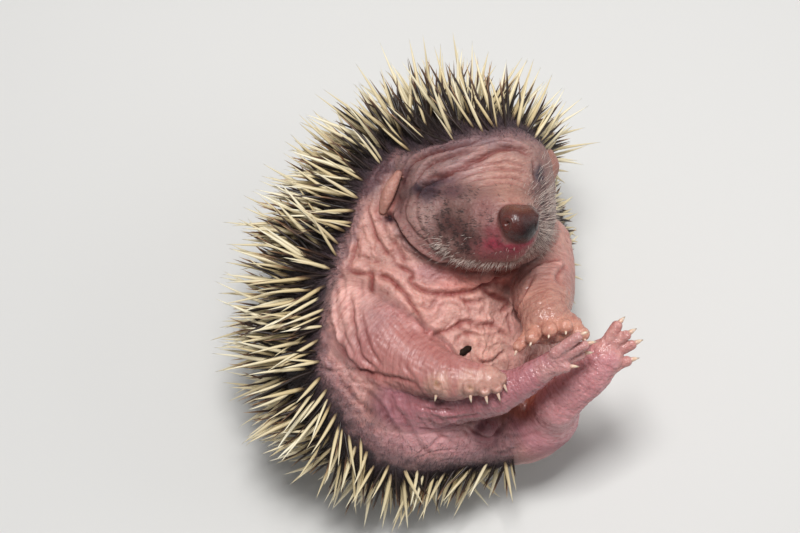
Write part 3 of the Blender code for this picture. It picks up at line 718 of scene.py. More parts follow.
def leg_course(p, leg):
    """Distance along a leg and the offset from its axis, at each point, without jumps."""
    run = np.vstack([spline(leg[part]) for part in ("upper", "lower", "palm")])
    length = np.maximum(np.linalg.norm(np.diff(run[:, :3], axis=0), axis=1), 1e-6)
    starts = np.concatenate([[0], np.cumsum(length)])

    def to_stretch(k):
        ahead = (run[k + 1, :3] - run[k, :3]) / length[k]
        along = np.clip((p - run[k, :3]) @ ahead, 0, length[k])
        offset = p - run[k, :3] - along[:, None] * ahead
        return starts[k] + along, offset, np.linalg.norm(offset, axis=1)

    nearest = np.min([to_stretch(k)[2] for k in range(len(length))], axis=0)
    total, mean_along, mean_offset = np.zeros(len(p)), np.zeros(len(p)), np.zeros((len(p), 3))
    for k in range(len(length)):
        along, offset, d = to_stretch(k)
        weight = np.exp((nearest - d) / COURSE_BLEND) * length[k]
        total += weight
        mean_along += weight * along
        mean_offset += weight[:, None] * offset
    return mean_along / total, mean_offset / total[:, None]


def billow(p, scale, seed):
    """Rounded lumps with sharp valleys between them, 0 in the valleys and about 1 on top."""
    return np.minimum(1, np.abs(noise(p, scale, seed)) * 2.6)


SLANT = np.array((0.577, 0.577, 0.577))  # the way through the noise as a leg runs on
PAD_RING = 0.16  # height of the ring on each pad of the right fore paw
PAD_DIMPLE = 0.34  # depth of the dimple inside it


def belly_relief(p, trunk, rise, deep):
    """The chest and belly are crumpled like thin cloth, less so towards the rim."""
    q = warp(p, 4.0, 1.4, 20)
    crumple = (0.50 * billow(q * (0.85, 1.15, 1.0), 4.4, 1) + 0.34 * billow(q, 2.2, 2)
               + 0.16 * billow(q, 1.1, 3))
    calm = blob(p, (-2.0, 4.0, 14.0), (6, 2.6, 5))
    folded = trunk * smooth_step(-24, -14, p[:, 1]) * (1 - 0.75 * calm)
    rise += folded * (crumple - 0.5)
    # painted shade in the valleys between the crumples
    np.maximum(deep, folded * smooth_step(0.32, 0.08, crumple) * 0.6, out=deep)


def rump_relief(p, trunk, rise, deep):
    """Long soft wrinkles run down the flank to the rim, and pleats across the rump."""
    around, up = round_and_up(p)
    course = np.column_stack([around * RIM_SCALE, up * 6, np.zeros(len(p))])
    rise += trunk * smooth_step(-14, -24, p[:, 1]) * 0.15 * (billow(course, 1.6, 5) - 0.5)
    rump = trunk * np.minimum(1, 1.5 * blob(p, (-1.0, -24.0, 9.0), (11, 6.5, 9)))
    x, y, z = warp(p, 3.0, 0.35, 50).T
    pleats = billow(np.column_stack([x / 6.5, (y + 0.05 * x ** 2) / 1.1, z / 4.0]), 1.0, 16)
    rise += rump * 0.25 * (pleats - 0.5)
    # painted shade between the pleats
    np.maximum(deep, rump * 0.12 * smooth_step(0.3, 0.05, pleats), out=deep)


def leg_relief(p, leg, mine, rise, deep, flow):
    """Rings of small wrinkles run round a leg, and longer ones along it."""
    here = mine > 0.01
    along, offset = leg_course(p[here], leg)

    def course(across, onward):
        return offset / across + (along / onward)[:, None] * SLANT

    small = (0.13 * (billow(course(2.6, 0.62), 1.0, 7) - 0.5)
             + 0.12 * (billow(course(0.9, 3.2), 1.0, 8) - 0.5))
    rise[here] += mine[here] * small
    # painted shade in the valleys of the wrinkles
    valley = mine[here] * 0.35 * smooth_step(-0.03, -0.12, small)
    deep[here] = np.maximum(deep[here], valley)
    flow[here] += mine[here][:, None] * (course(1.3, 0.3) - flow[here])


def face_relief(p, face, rise, flow):
    """Fine lines run along the brow, and the cheeks are softly lumpy."""
    brow = face * smooth_step(15.5, 18.5, p[:, 1])
    lines = np.column_stack([p[:, 0] / 3.4, (p[:, 1] - 0.22 * p[:, 0]) / 0.62, p[:, 2] / 0.9])
    rise += brow * 0.19 * (billow(lines, 1.0, 9) - 0.5)
    rise += face * (1 - brow) * 0.10 * noise(p, 1.5, 12)
    flow += brow[:, None] * (lines * 2.2 - flow)


def smooth_ear(name, each, own, rise, deep):
    """An ear stays smooth, and painted shade darkens the skin where it meets the head."""
    beyond = to_group(each, name) - each.min(axis=1)
    own[name] = smooth_step(0.6, 0.15, beyond)
    rise *= 1 - own[name]
    deep *= 1 - own[name]
    crevice = bell((beyond - 0.75) / 0.35) * (to_group(each, name) < 1.3)
    np.maximum(deep, 0.6 * crevice, out=deep)


def skin_relief(p, each, depth):
    """Rise along the normal, depth in the folds, which is later painted as shade, and the course of the
    fine wrinkles.
    """
    nearest = each.min(axis=1)
    own = {name: smooth_step(1.4, 0.1, to_group(each, name) - nearest) for name in GROUP_NAMES}
    bare = smooth_step(1.5, -1.5, depth)
    rise, deep = folds(p)
    flow = p / 0.55
    belly_relief(p, own["trunk"] * bare, rise, deep)
    rump_relief(p, own["trunk"] * bare, rise, deep)
    for name, leg in LEGS.items():
        leg_relief(p, leg, own["leg_" + name] * bare, rise, deep, flow)
    face_relief(p, own["head"] * bare, rise, flow)
    for name in ("ear_right", "ear_left"):
        smooth_ear(name, each, own, rise, deep)
    # The nose meets the muzzle in a groove, darkened with painted shade
    groove = bell(past_others(each, "nose") / 0.45) * (np.abs(to_group(each, "nose")) < 1.2)
    rise -= 0.30 * groove
    deep = np.maximum(deep, 0.8 * groove)
    # Toes are lightly lumpy, and each pad of the right fore paw has a dimple in a raised ring
    for name in LEGS:
        rise += own["toes_" + name] * 0.05 * noise(p, 0.55, 15)
    for x, y, z, r in [toe[-1] for toe in FORE_RIGHT["toes"]]:
        d = apart(p, (x, y + 0.2, z + r))
        rise += PAD_RING * bell((d - 0.75) / 0.3) - PAD_DIMPLE * bell(d / 0.38)
    return rise, deep, flow, own


# ---- colours of the skin
CHEST = (0.66, 0.385, 0.32)
CHEST_DEEP = (0.52, 0.26, 0.235)
# fore_right is partly its own deeper pink and partly painted shade on the forearm's lower side; hind_left
# is paler than its skin, painted light where the right hind foot casts its shadow
LEG_COLOURS = {"fore_right": (0.267, 0.103, 0.116), "fore_left": (0.43, 0.225, 0.20),
               "hind_right": (0.36, 0.16, 0.19), "hind_left": (0.70, 0.31, 0.36)}
RIM_GREY = (0.21, 0.128, 0.140)
# the skin under the coat: partly its own dark colour, partly painted shade between the quills
RIM_DARK = (0.05, 0.034, 0.040)
# painted shade in the depths of the folds
FOLD_SHADE_RED = (0.26, 0.045, 0.038)
RUMP_BAND = 1.0  # how much wider the dark fur is below the rump
# Patches are (colour, strength, half widths, centres), laid over each other in this order
TRUNK_PATCHES = [
    ((0.44, 0.22, 0.225), 0.8, (5.5, 2.0, 5), [(-2.5, 3.4, 14)]),
    ((0.50, 0.27, 0.225), 0.75, (4.5, 5, 5), [(-13, 7, 12)]),
    ((0.46, 0.24, 0.23), 0.6, (5, 8, 6), [(-20, -14, 12)]),
    ((0.64, 0.34, 0.36), 0.85, (11, 5, 6), [(-6, -25, 8), (4, -27, 5)]),
    # painted shade: a reddish strip across the chest below the chin
    ((0.60, 0.20, 0.155), 0.75, (5, 1.8, 4), [(4, 1.6, 14), (9.5, 1.8, 12.5)]),
    # painted shadow: the dark band that the chin casts on the chest
    ((0.13, 0.024, 0.012), 0.9, (4.6, 1.0, 4), [(4.5, 3.8, 14.5), (9.5, 3.6, 13), (13, 5, 13)]),
    ((0.70, 0.43, 0.35), 0.7, (4.5, 4, 4), [(5, -10, 10.5)]),
]
# Patches over trunk, legs and tail alike: mostly painted shade in the skin's own folds and hollows, each
# noted below
SHADE_AND_TONE_PATCHES = [
    # painted shade between the hind legs
    ((0.12, 0.026, 0.026), 0.9, (2.6, 1.2, 4), [(3.6, -22.6, 10), (7.5, -22.4, 6)]),
    # painted shade round the tail
    ((0.19, 0.075, 0.085), 0.8, (2.0, 1.3, 3), [(6.2, -24.2, 6.5)]),
    # between the hind legs: painted warm shade, orange-brown, made pale enough to lighten the legs' cast
    # shadow there
    ((0.46, 0.15, 0.085), 0.85, (3.2, 2.0, 3.5), [(11.7, -21.2, 3.5), (15.2, -19.3, 3.5)]),
    # painted shade behind the right ear
    ((0.115, 0.058, 0.066), 0.95, (2.7, 3.0, 5), [(-14.2, 18.6, 8.6), (-12.4, 21.6, 8.4)]),
    # painted shade in the crevice below the right ear
    ((0.045, 0.020, 0.030), 1.0, (1.0, 0.9, 1.6), [(-11.2, 12.8, 12.0)]),
    # a paler patch on the right shoulder
    ((0.72, 0.42, 0.365), 0.55, (2.6, 5.5, 5), [(-18.8, -4, 12.5)]),
    # olive-brown in the dimples of the right fore paw's first two pads
    ((0.40, 0.24, 0.13), 0.8, (0.6, 0.6, 1.2), [(-2.5, -16.0, 21.0), (2.8, -16.3, 22.1)]),
    # painted shade under the right forearm, between paw and thigh
    ((0.12, 0.022, 0.024), 0.9, (4.5, 0.8, 3), [(-2.0, -18.5, 15.5)]),
    # darker, greyer underside of the left thigh towards the floor: partly its own colour, partly painted
    # shade
    ((0.30, 0.165, 0.175), 0.8, (8, 7, 5.5), [(10, -29, -7), (17, -27, -7)]),
]
HEAD_PATCHES = [
    # painted shade under the chin
    ((0.22, 0.036, 0.018), 0.9, (9, 1.4, 7), [(6, 3.2, 17)]),
    ((0.47, 0.27, 0.22), 0.9, (7, 4, 6), [(7, 21, 19)]),
    ((0.30, 0.195, 0.19), 0.85, (12, 2.4, 8), [(2, 26.5, 14)]),
    # painted highlight: a cool grey sheen on the left of the forehead
    ((0.37, 0.235, 0.23), 0.8, (4.2, 2.4, 4), [(1.0, 21.3, 18.5)]),
    ((0.47, 0.25, 0.195), 0.9, (4.5, 3.2, 4), [(10, 16.5, 24)]),
    ((0.29, 0.18, 0.17), 0.8, (4.5, 2.6, 5), [(-5, 20.5, 13.5), (-1.5, 23.2, 15.5)]),
    # painted shade in the crevice along the right ear, in front of it and beside its lower end
    ((0.10, 0.038, 0.042), 0.85, (1.0, 2.2, 2.4), [(-8.2, 20.2, 12)]),
    ((0.17, 0.08, 0.078), 0.8, (1.6, 3.0, 3), [(-8.4, 14.6, 13.5)]),
    ((0.31, 0.155, 0.14), 0.8, (2.4, 3.4, 4), [(-7.2, 9.4, 15.5), (-4, 7, 17)]),
    ((0.42, 0.265, 0.235), 0.9, (3.2, 3.4, 5), [(-4.4, 13.4, 18.4)]),
    ((0.18, 0.095, 0.08), 0.9, (3.6, 3.4, 5), [(1.6, 13.0, 22.5)]),
    ((0.28, 0.13, 0.12), 0.8, (2.6, 3.0, 3), [(5.6, 13.0, 25)]),
    ((0.078, 0.024, 0.022), 0.85, (2.8, 1.8, 4), [(-1.2, 11.6, 20.9), (0.8, 10.2, 22.2), (2.8, 8.8, 23.2)]),
    # The right eye: the closed lid's own dark grey-blue, with painted shade under the brow fold and in the
    # crease above it
    ((0.17, 0.075, 0.085), 0.85, (3.0, 1.4, 2.8), [(-3.2, 16.6, 18.0), (0.6, 17.0, 20.5)]),
    ((0.14, 0.065, 0.078), 0.85, (2.6, 0.8, 2.8), [(-1.4, 19.0, 18.4)]),
    ((0.042, 0.020, 0.034), 1.0, (2.2, 0.9, 2.8), [(-3.6, 18.2, 17.4), (-5.4, 17.2, 16.2)]),
    ((0.090, 0.050, 0.068), 0.95, (1.9, 1.5, 2.6), [(-4.0, 16.7, 17.9)]),
    ((0.13, 0.078, 0.076), 0.9, (2.0, 6, 5), [(15.9, 12.5, 18.5)]),
    ((0.05, 0.036, 0.05), 0.95, (1.3, 2.4, 2.6), [(15.0, 20.0, 16.6)]),
    ((0.33, 0.095, 0.105), 0.9, (3.0, 1.6, 3), [(5.6, 6.4, 24.2), (8.0, 6.2, 25.4), (10.8, 6.4, 26.0)]),
    ((0.25, 0.060, 0.070), 0.9, (1.7, 2.2, 2.6), [(6.6, 9.6, 27)]),
    ((0.42, 0.275, 0.25), 0.7, (1.9, 2.3, 3), [(-3.9, 13.2, 18.8)]),
    ((0.35, 0.040, 0.072), 1.0, (2.2, 0.8, 2.2), [(7.0, 7.8, 26.5), (9.7, 7.3, 27.3), (12.3, 8.1, 28.0)]),
]
HEAD_COLOUR = (0.33, 0.20, 0.175)
EAR_COLOUR = (0.46, 0.235, 0.185)
TAIL_COLOUR = (0.34, 0.145, 0.16)
# painted shade on the nose's lower right, away from the light, over its own dark colour
NOSE_DARK = (13.3, 9.0, 28.6)  # where the nose is darkest and driest
NOSE_COLOUR = (0.075, 0.024, 0.022)
NOSE_PATCHES = [
    ((0.19, 0.085, 0.055), 0.9, (2.8, 1.1, 2.2), [(10.6, 14.2, 28.8)]),
    ((0.13, 0.042, 0.034), 0.9, (1.9, 1.9, 1.9), [NOSTRIL_RIGHT]),
    # painted shade: the nose's lower right, darkest away from the light
    ((0.010, 0.002, 0.003), 1.0, (2.3, 2.3, 2.4), [(12.9, 9.6, 29.2)]),
]
PAW_COLOURS = {"fore_right": (0.50, 0.225, 0.20), "fore_left": (0.50, 0.26, 0.20),
               "hind_right": (0.50, 0.22, 0.24), "hind_left": (0.66, 0.325, 0.335)}
# Millimetres along each leg between which the body's colour gives way to the leg's own
BODY_COLOUR_UNTIL = {"fore_right": (7, 19), "fore_left": (7, 19), "hind_right": (-2, -1),
                     "hind_left": (4, 14)}
WETNESS = {"fore_right": 0.25, "fore_left": 0.9, "hind_right": 1.0, "hind_left": 1.0}
TOE_COLOURS = {"fore_right": (0.60, 0.35, 0.28), "fore_left": (0.62, 0.31, 0.225),
               "hind_right": (0.60, 0.325, 0.31), "hind_left": (0.62, 0.32, 0.29)}


def over(base, colour, share):
    return base + np.asarray(share)[:, None] * (np.asarray(colour) - base)


def paint(base, p, patches, share):
    for colour, strength, radii, centres in patches:
        reach = np.max([blob(p, c, radii) for c in centres], axis=0)
        base = over(base, colour, share * strength * np.minimum(1, 1.35 * reach))
    return base


def skin_colours(p, each, depth, rise, deep, own):
    """The colour and the wetness of the skin at each point."""
    wander = warp(warp(p, 2.2, 0.5, 40), 0.75, 0.32, 43)
    mottle = 0.5 + 0.5 * noise(wander, 3.0, 41)
    tint = over(np.tile(CHEST, (len(p), 1)), CHEST_DEEP, 0.75 * mottle)
    tint = paint(tint, wander, TRUNK_PATCHES, own["trunk"])
    wet = np.zeros(len(p))
    for name in LEGS:
        leg, toes = own["leg_" + name], own["toes_" + name]
        along = leg_course(p, LEGS[name])[0]
        paw = smooth_step(12, 20, along)
        from_body = smooth_step(*BODY_COLOUR_UNTIL[name], along)
        tint = over(tint, LEG_COLOURS[name], leg * from_body * (1.0 - 0.25 * mottle))
        tint = over(tint, PAW_COLOURS[name], leg * paw * 0.9)
        tint = over(tint, TOE_COLOURS[name], toes * 0.9)
        wet = np.maximum(wet, np.maximum(leg * paw, toes) * WETNESS[name])
    head = np.maximum(own["head"], np.maximum(own["lid_right"], own["lid_left"]))
    tint = over(tint, HEAD_COLOUR, head)
    tint = paint(tint, wander, HEAD_PATCHES, head)
    ears = np.maximum(own["ear_right"], own["ear_left"])
    tint = over(tint, EAR_COLOUR, ears)
    tint = over(tint, TAIL_COLOUR, own["tail"])
    nose = smooth_step(0.5, -0.1, past_others(each, "nose"))
    on_nose = paint(np.tile(NOSE_COLOUR, (len(p), 1)), p, NOSE_PATCHES, np.ones(len(p)))
    tint = tint + nose[:, None] * (on_nose - tint)
    wet = np.maximum(wet, nose * (0.42 - 0.32 * blob(p, NOSE_DARK, 2.2)))
    ragged = (depth + 1.1 * noise(p, 1.3, 44) + 0.6 * noise(p, 0.6, 45)
              + RUMP_BAND * smooth_step(-10, -22, p[:, 1]))
    body = np.maximum(own["trunk"], head) * (1 - nose) * (1 - ears)
    tint = over(tint, RIM_GREY, body * smooth_step(-3.4, -0.8, ragged) * 0.75)
    tint = paint(tint, wander, SHADE_AND_TONE_PATCHES,
                 np.maximum(1 - head, 1.0 * (p[:, 0] < -8.5)) * (1 - nose) * (1 - ears))
    # Painted light and shade: ridges are painted paler as if lit, valleys redder and folds darker as
    # painted shade, and the skin greys towards the rim
    ridge_light = smooth_step(0.05, 0.5, rise) * (1 - nose)
    valley = smooth_step(0.0, -0.45, rise) * (1 - nose)
    tint = tint * (1 + 0.20 * ridge_light)[:, None]
    tint = tint + (0.8 * valley)[:, None] * (tint * (0.78, 0.54, 0.53) - tint)
    fold_shade = np.minimum(tint * (0.62, 0.34, 0.32), FOLD_SHADE_RED)
    tint = tint + (0.85 * deep)[:, None] * (fold_shade - tint)
    # nearly black skin under the coat: partly its own dark colour, partly painted shade between the quills
    tint = over(tint, RIM_DARK, smooth_step(-0.8, 2.6, ragged) * body)
    return tint, wet


# ---- spikes and hairs
rng = np.random.default_rng(11)  # all that is random is drawn from it, in the script's order
QUILL_LEAST = 0.7  # millimetres of a quill's axis above the floor
PATCH = 0.003  # width of a tuft's patch on its map
MAP_RADIUS = 0.49  # of the unwrap's disc, on a map that is 1 across
ROOT_CAP = 0.04  # how far a spike's blunt end reaches below its root, as a share of its length
STEEPEST = 0.98  # the most that a spike near the floor points down, as a share of its length


def scatter(p, spacing, candidates):
    """Indices of points at least spacing apart, taken in random order."""
    taken, grid = [], {}
    cells = np.floor(p / spacing).astype(int).tolist()
    spots = p.tolist()
    around = [(i, j, k) for i in (-1, 0, 1) for j in (-1, 0, 1) for k in (-1, 0, 1)]
    for index in rng.permutation(candidates).tolist():
        x, y, z = cells[index]
        near = (spot for i, j, k in around for spot in grid.get((x + i, y + j, z + k), ()))
        if all(math.dist(spots[index], spot) >= spacing for spot in near):
            grid.setdefault((x, y, z), []).append(spots[index])
            taken.append(index)
    return np.array(taken)


def any_across(d):
    """A unit vector square to each direction."""
    helper = np.where(np.abs(d[:, 2:3]) < 0.8, (0.0, 0.0, 1.0), (1.0, 0.0, 0.0))
    return unit(np.cross(d, helper))


def tube(rings, sides):
    """The numbers of the points of a tube's rings, and of the next point round each ring."""
    here = np.arange(rings * sides).reshape(rings, sides)
    return here, np.roll(here, -1, axis=1)


def spikes(roots, ways, lengths, radii, bends, profile, sides, uv):
    """Closed tapered spikes. profile is a list of (share of length, share of radius)."""
    count = len(roots)
    e1 = any_across(ways)
    e2 = np.cross(ways, e1)
    shares, widths = np.array(profile).T
    spine = (roots[:, None, :] + ways[:, None, :] * (lengths[:, None] * shares)[:, :, None]
             + bends[:, None, :] * (lengths[:, None] * shares ** 2)[:, :, None])
    angles = 2 * math.pi * np.arange(sides) / sides
    ring = (np.cos(angles)[None, :, None] * e1[:, None, :]
            + np.sin(angles)[None, :, None] * e2[:, None, :])
    body = (spine[:, :, None, :] + ring[:, None, :, :]
            * (radii[:, None] * widths)[:, :, None, None])
    rings = len(profile)
    start = roots - ways * (lengths * ROOT_CAP)[:, None]
    tip = roots + (ways + bends) * lengths[:, None]
    verts = np.concatenate([body.reshape(count, -1, 3), start[:, None], tip[:, None]], axis=1)
    size = rings * sides + 2
    here, after = tube(rings, sides)
    walls = np.stack([here[:-1], after[:-1], after[1:], here[:-1], after[1:], here[1:]], axis=-1)
    foot, top = np.full((2, sides), size) - [[2], [1]]
    caps = np.stack([foot, after[0], here[0], here[-1], after[-1], top], axis=-1)
    faces = np.vstack([walls.reshape(-1, 3), caps.reshape(-1, 3)])
    faces = (faces + (np.arange(count) * size)[:, None, None]).reshape(-1, 3)
    along = np.concatenate([np.repeat(shares, sides), (0.0, 1.0)])
    across = np.concatenate([np.tile(0.5 + 0.5 * np.cos(angles), rings), (0.5, 0.5)])
    patch = np.stack([across, along], axis=1) * PATCH - PATCH / 2
    uvs = (uv[:, None, :] + patch[None]).reshape(-1, 2)
    return verts.reshape(-1, 3), faces, np.tile(along, count), uvs, size


def unwrap(p, centre, pole):
    """A map of skin that is star-shaped about centre: its pole in the middle, opposite outside."""
    axes = frame_from(pole)
    q = unit(np.asarray(p, float) - centre) @ axes
    spread = np.arccos(np.clip(q[:, 2], -1, 1)) / math.pi * MAP_RADIUS
    around = np.arctan2(q[:, 1], q[:, 0])
    return 0.5 + np.stack([np.cos(around), np.sin(around)], axis=1) * spread[:, None]


def clear_of_floor(roots, ways, lengths, bends, least=QUILL_LEAST):
    """Turn what would reach under the floor until its tip lies on it, and bend it upwards."""
    downward = (place_direction(bends)[:, 2] < 0) & (height(roots) < lengths)
    bends = np.where(downward[:, None], -bends, bends)
    ways = place_direction(ways)
    base = height(roots)
    dip = np.clip((least - base) / lengths, -STEEPEST, 0.3)
    low = base + ways[:, 2] * lengths < least
    flat = unit(ways[:, :2] + 1e-6)
    turned = np.concatenate([flat * np.sqrt(1 - dip ** 2)[:, None], dip[:, None]], axis=1)
    ways[low] = turned[low]
    return ways @ PITCH, bends


def coat(name, roots, normals, ways, length, radius, profile, sides, bend, look,
         slot="spines", sink=0.25, tip_gap=0.5, centre=TRUNK_CENTRE, pole=BACK_POLE, spread=0.18):
    """One piece of spikes at roots, pointing along ways, with its OFBake map.

    Those whose tips would come closer than tip_gap to the body are left out.
    """
    count = len(roots)
    length = length * rng.uniform(1 - spread, 1 + spread, count)
    radius = radius * rng.uniform(0.85, 1.15, count)
    bends = unit(rng.normal(size=(count, 3))) * bend
    ways, bends = clear_of_floor(roots, unit(ways), length, bends)
    if tip_gap is not None:
        clear = distance(roots + ways * length[:, None]) > tip_gap
        roots, normals, ways, length, radius, bends = (
            a[clear] for a in (roots, normals, ways, length, radius, bends))
    verts, faces, along, uvs, size = spikes(roots - normals * sink, ways, length, radius, bends,
                                            profile, sides, unwrap(roots, centre, pole))
    tones = np.repeat(rng.uniform(0, 1, len(roots)), size)
    obj = mesh_object(name, verts, [faces], {"along": along, "tone": tones})
    corner = np.empty(len(obj.data.loops), np.int32)
    obj.data.loops.foreach_get("vertex_index", corner)
    layer = obj.data.uv_layers.new(name="OFBake")
    layer.data.foreach_set("uv", uvs[corner].astype(F).ravel())
    return dressed(obj, look)


def sideways(normals):
    """A random direction along the skin at each point."""
    jitter = rng.normal(size=normals.shape)
    return unit(jitter - normals * (jitter * normals).sum(1, keepdims=True))


def picked(candidates, weights, count):
    """Points drawn at random from candidates, with no point twice."""
    weights = weights[candidates] / weights[candidates].sum()
    count = min(count, int((weights > 0).sum()))
    return rng.choice(candidates, size=count, replace=False, p=weights)


# ---- materials
class Shader:
    """A material of nodes, with short ways to add and join them."""

    def __init__(self, name):
        self.material = bpy.data.materials.new(name)
        self.material.use_nodes = True
        self.tree = self.material.node_tree
        self.main = self.tree.nodes["Principled BSDF"]

    def where(self):
        return self.node("TexCoord").outputs["Object"]

    def node(self, kind, inputs=None, **settings):
        made = self.tree.nodes.new("ShaderNode" + kind)
        for key, value in settings.items():
            setattr(made, key, value)
        for key, value in (inputs or {}).items():
            self.put(made.inputs[key], value)
        return made

    def put(self, socket, value):
        if isinstance(value, bpy.types.NodeSocket):
            self.tree.links.new(value, socket)
        else:
            socket.default_value = value

    def set(self, **values):
        for key, value in values.items():
            self.put(self.main.inputs[key.replace("_", " ")], value)

    def attribute(self, name, output="Fac"):
        return self.node("Attribute", attribute_name=name).outputs[output]

    def noise(self, where, scale, detail=3.0, roughness=0.6):
        return self.node("TexNoise", {"Vector": where, "Scale": scale, "Detail": detail,
                                      "Roughness": roughness}).outputs["Fac"]

    def spots(self, where, scale, feature="F1"):
        return self.node("TexVoronoi", {"Vector": where, "Scale": scale},
                         feature=feature).outputs["Distance"]

    def span(self, value, low, high, to_low=0.0, to_high=1.0):
        return self.node("MapRange", {"Value": value, "From Min": low, "From Max": high,
                                      "To Min": to_low, "To Max": to_high}).outputs["Result"]

    def math(self, operation, a, b):
        return self.node("Math", {0: a, 1: b}, operation=operation).outputs[0]

    def mix(self, share, a, b, blend="MIX"):
        made = self.node("Mix", data_type="RGBA", blend_type=blend)
        self.put(made.inputs[0], share)
        for socket, value in ((made.inputs[6], a), (made.inputs[7], b)):
            if isinstance(value, tuple):
                value = (*value, 1.0)
            self.put(socket, value)
        return made.outputs[2]

    def ramp(self, share, stops):
        made = self.node("ValToRGB", {"Fac": share})
        band = made.color_ramp
        while len(band.elements) < len(stops):
            band.elements.new(0.5)
        for element, (position, colour) in zip(band.elements, stops):
            element.position = position
            element.color = (*colour, 1.0)
        return made.outputs["Color"]

    def bump(self, height, strength, distance, **below):
        inputs = {"Height": height, "Strength": strength, "Distance": distance, **below}
        return self.node("Bump", inputs).outputs["Normal"]


def skin_look():
    """Thin pink skin: mottled, finely wrinkled, and moist on the nose and feet."""
    s = Shader("skin_look")
    where = s.where()
    flow = s.attribute("flow", "Vector")
    tint = s.attribute("tint", "Color")
    wet = s.attribute("wet")
    blotch = s.span(s.noise(where, 420, 4.0), 0.3, 0.7, 0.0, 1.0)
    colour = s.mix(s.math("MULTIPLY", blotch, 0.35), tint, (0.80, 0.60, 0.60), "MULTIPLY")
    grain = s.span(s.noise(where, 2600, 2.0), 0.35, 0.65)
    colour = s.mix(s.math("MULTIPLY", grain, 0.16), colour, (0.55, 0.42, 0.40), "MULTIPLY")
    streak = s.noise(flow, 0.55, 3.0, 0.65)
    # painted shade and painted highlight: dark and light streaks along the fine wrinkles
    colour = s.mix(s.span(streak, 0.45, 0.7, 0.0, 0.5), colour, (0.64, 0.36, 0.37), "MULTIPLY")
    colour = s.mix(s.span(streak, 0.45, 0.3, 0.0, 0.35), colour, (1.25, 1.22, 1.2), "MULTIPLY")
    pores = s.spots(where, 3400)
    fine = s.noise(flow, 1.0, 3.0, 0.6)
    dry = s.span(wet, 0.0, 0.6, 1.0, 0.12)
    normal = s.bump(fine, s.math("MULTIPLY", dry, 0.9), 0.0003)
    normal = s.bump(pores, s.math("MULTIPLY", dry, 0.22), 0.00008, Normal=normal)
    film = s.math("MULTIPLY", s.noise(where, 1500, 2.0), s.span(wet, 0.65, 0.9))
    normal = s.bump(film, 0.8, 0.0004, Normal=normal)
    rough = s.span(wet, 0, 0.6, 0.48, 0.17)
    rough = s.math("ADD", rough, s.span(grain, 0, 1, -0.06, 0.08))
    s.set(Base_Color=colour, Roughness=rough, Normal=normal, Subsurface_Weight=0.18,
          Subsurface_Radius=(1.0, 0.32, 0.20), Subsurface_Scale=0.0011)
    return s.material


def quill_look(name, stops, tone_low, tone_high, rough=0.42):
    """Horn coloured along its length, with fine streaks and a tone of its own."""
    s = Shader(name)
    along = s.attribute("along")
    tone = s.attribute("tone")
    where = s.where()
    uneven = s.math("ADD", along, s.span(s.noise(where, 900, 2.0), 0, 1, -0.07, 0.07))
    shifted = s.math("ADD", uneven, s.span(tone, 0, 1, -0.08, 0.08))
    colour = s.ramp(shifted, stops)
    colour = s.mix(s.span(tone, 0, 1), s.mix(1.0, colour, tone_low, "MULTIPLY"),
                   s.mix(1.0, colour, tone_high, "MULTIPLY"))
    streaks = s.noise(where, 5200, 2.0)
    normal = s.bump(streaks, 0.25, 0.00005)
    s.set(Base_Color=colour, Roughness=rough, Normal=normal)
    return s.material


def hair_look(name, root, tip, rough=0.5):
    s = Shader(name)
    tone = s.attribute("tone")
    colour = s.ramp(s.attribute("along"), [(0.0, root), (1.0, tip)])
    colour = s.mix(s.span(tone, 0, 1, 0.0, 0.4), colour, (0.45, 0.40, 0.40), "MULTIPLY")
    s.set(Base_Color=colour, Roughness=rough)
    return s.material


def claw_look():
    """Clear pale horn, pinker at the root and browner at the tip."""
    s = Shader("claw_look")
    along = s.attribute("along")
    where = s.where()
    colour = s.ramp(s.math("ADD", along, s.span(s.noise(where, 1500, 2.0), 0, 1, -0.1, 0.1)),
                    [(0.0, (0.56, 0.29, 0.23)), (0.35, (0.68, 0.45, 0.34)),
                     (0.7, (0.72, 0.57, 0.44)), (1.0, (0.26, 0.17, 0.11))])
    normal = s.bump(s.noise(where, 3000, 2.0), 0.15, 0.00005)
    s.set(Base_Color=colour, Roughness=0.24, Normal=normal, Subsurface_Weight=0.3,
          Subsurface_Radius=(1.0, 0.6, 0.35), Subsurface_Scale=0.0008)
    return s.material


def scab_look():
    s = Shader("scab_look")
    where = s.where()
    colour = s.ramp(s.noise(where, 2500, 3.0), [(0.3, (0.008, 0.005, 0.004)),
                                                (0.8, (0.035, 0.018, 0.012))])
    s.set(Base_Color=colour, Roughness=0.75, Specular_IOR_Level=0.12,
          Normal=s.bump(s.spots(where, 2600), 0.6, 0.0002))
    return s.material


# ---- the skin
BARE_MARGIN = 2.5  # how far into the coat the fine mesh of bare skin goes on
MUZZLE_RADIUS = 5.2  # of the ball round the nose whose mesh is refined again
verts, quads = base_mesh()
verts = settle(verts, quads, 2)
bare = (below_rim(verts)[quads] < BARE_MARGIN).any(axis=1)
verts, quads, fans = refine(verts, quads, np.empty((0, 3), int), bare)
reach = reach_of(verts, VOXEL)
verts = project(project(verts, reach), reach)
muzzle = apart(verts, NOSE_CENTRE) < MUZZLE_RADIUS
verts, quads, fans = refine(verts, quads, fans, muzzle[quads].all(axis=1))
base = project(verts)  # the smooth skin, which the relief and colours are read on
normals = vertex_normals(base, [quads, fans])
each = group_table(base).astype(float)
depth = below_rim(base)
rise, deep, flow, own = skin_relief(base, each, depth)
tint, wet = skin_colours(base, each, depth, rise, deep, own)
verts = base + normals * rise[:, None]
verts = verts + np.maximum(FLOOR_GAP - height(verts), 0)[:, None] * PITCH[2]
skin = mesh_object("skin", verts, [quads, fans], {"tint": tint, "wet": wet, "flow": flow})
dressed(skin, skin_look())

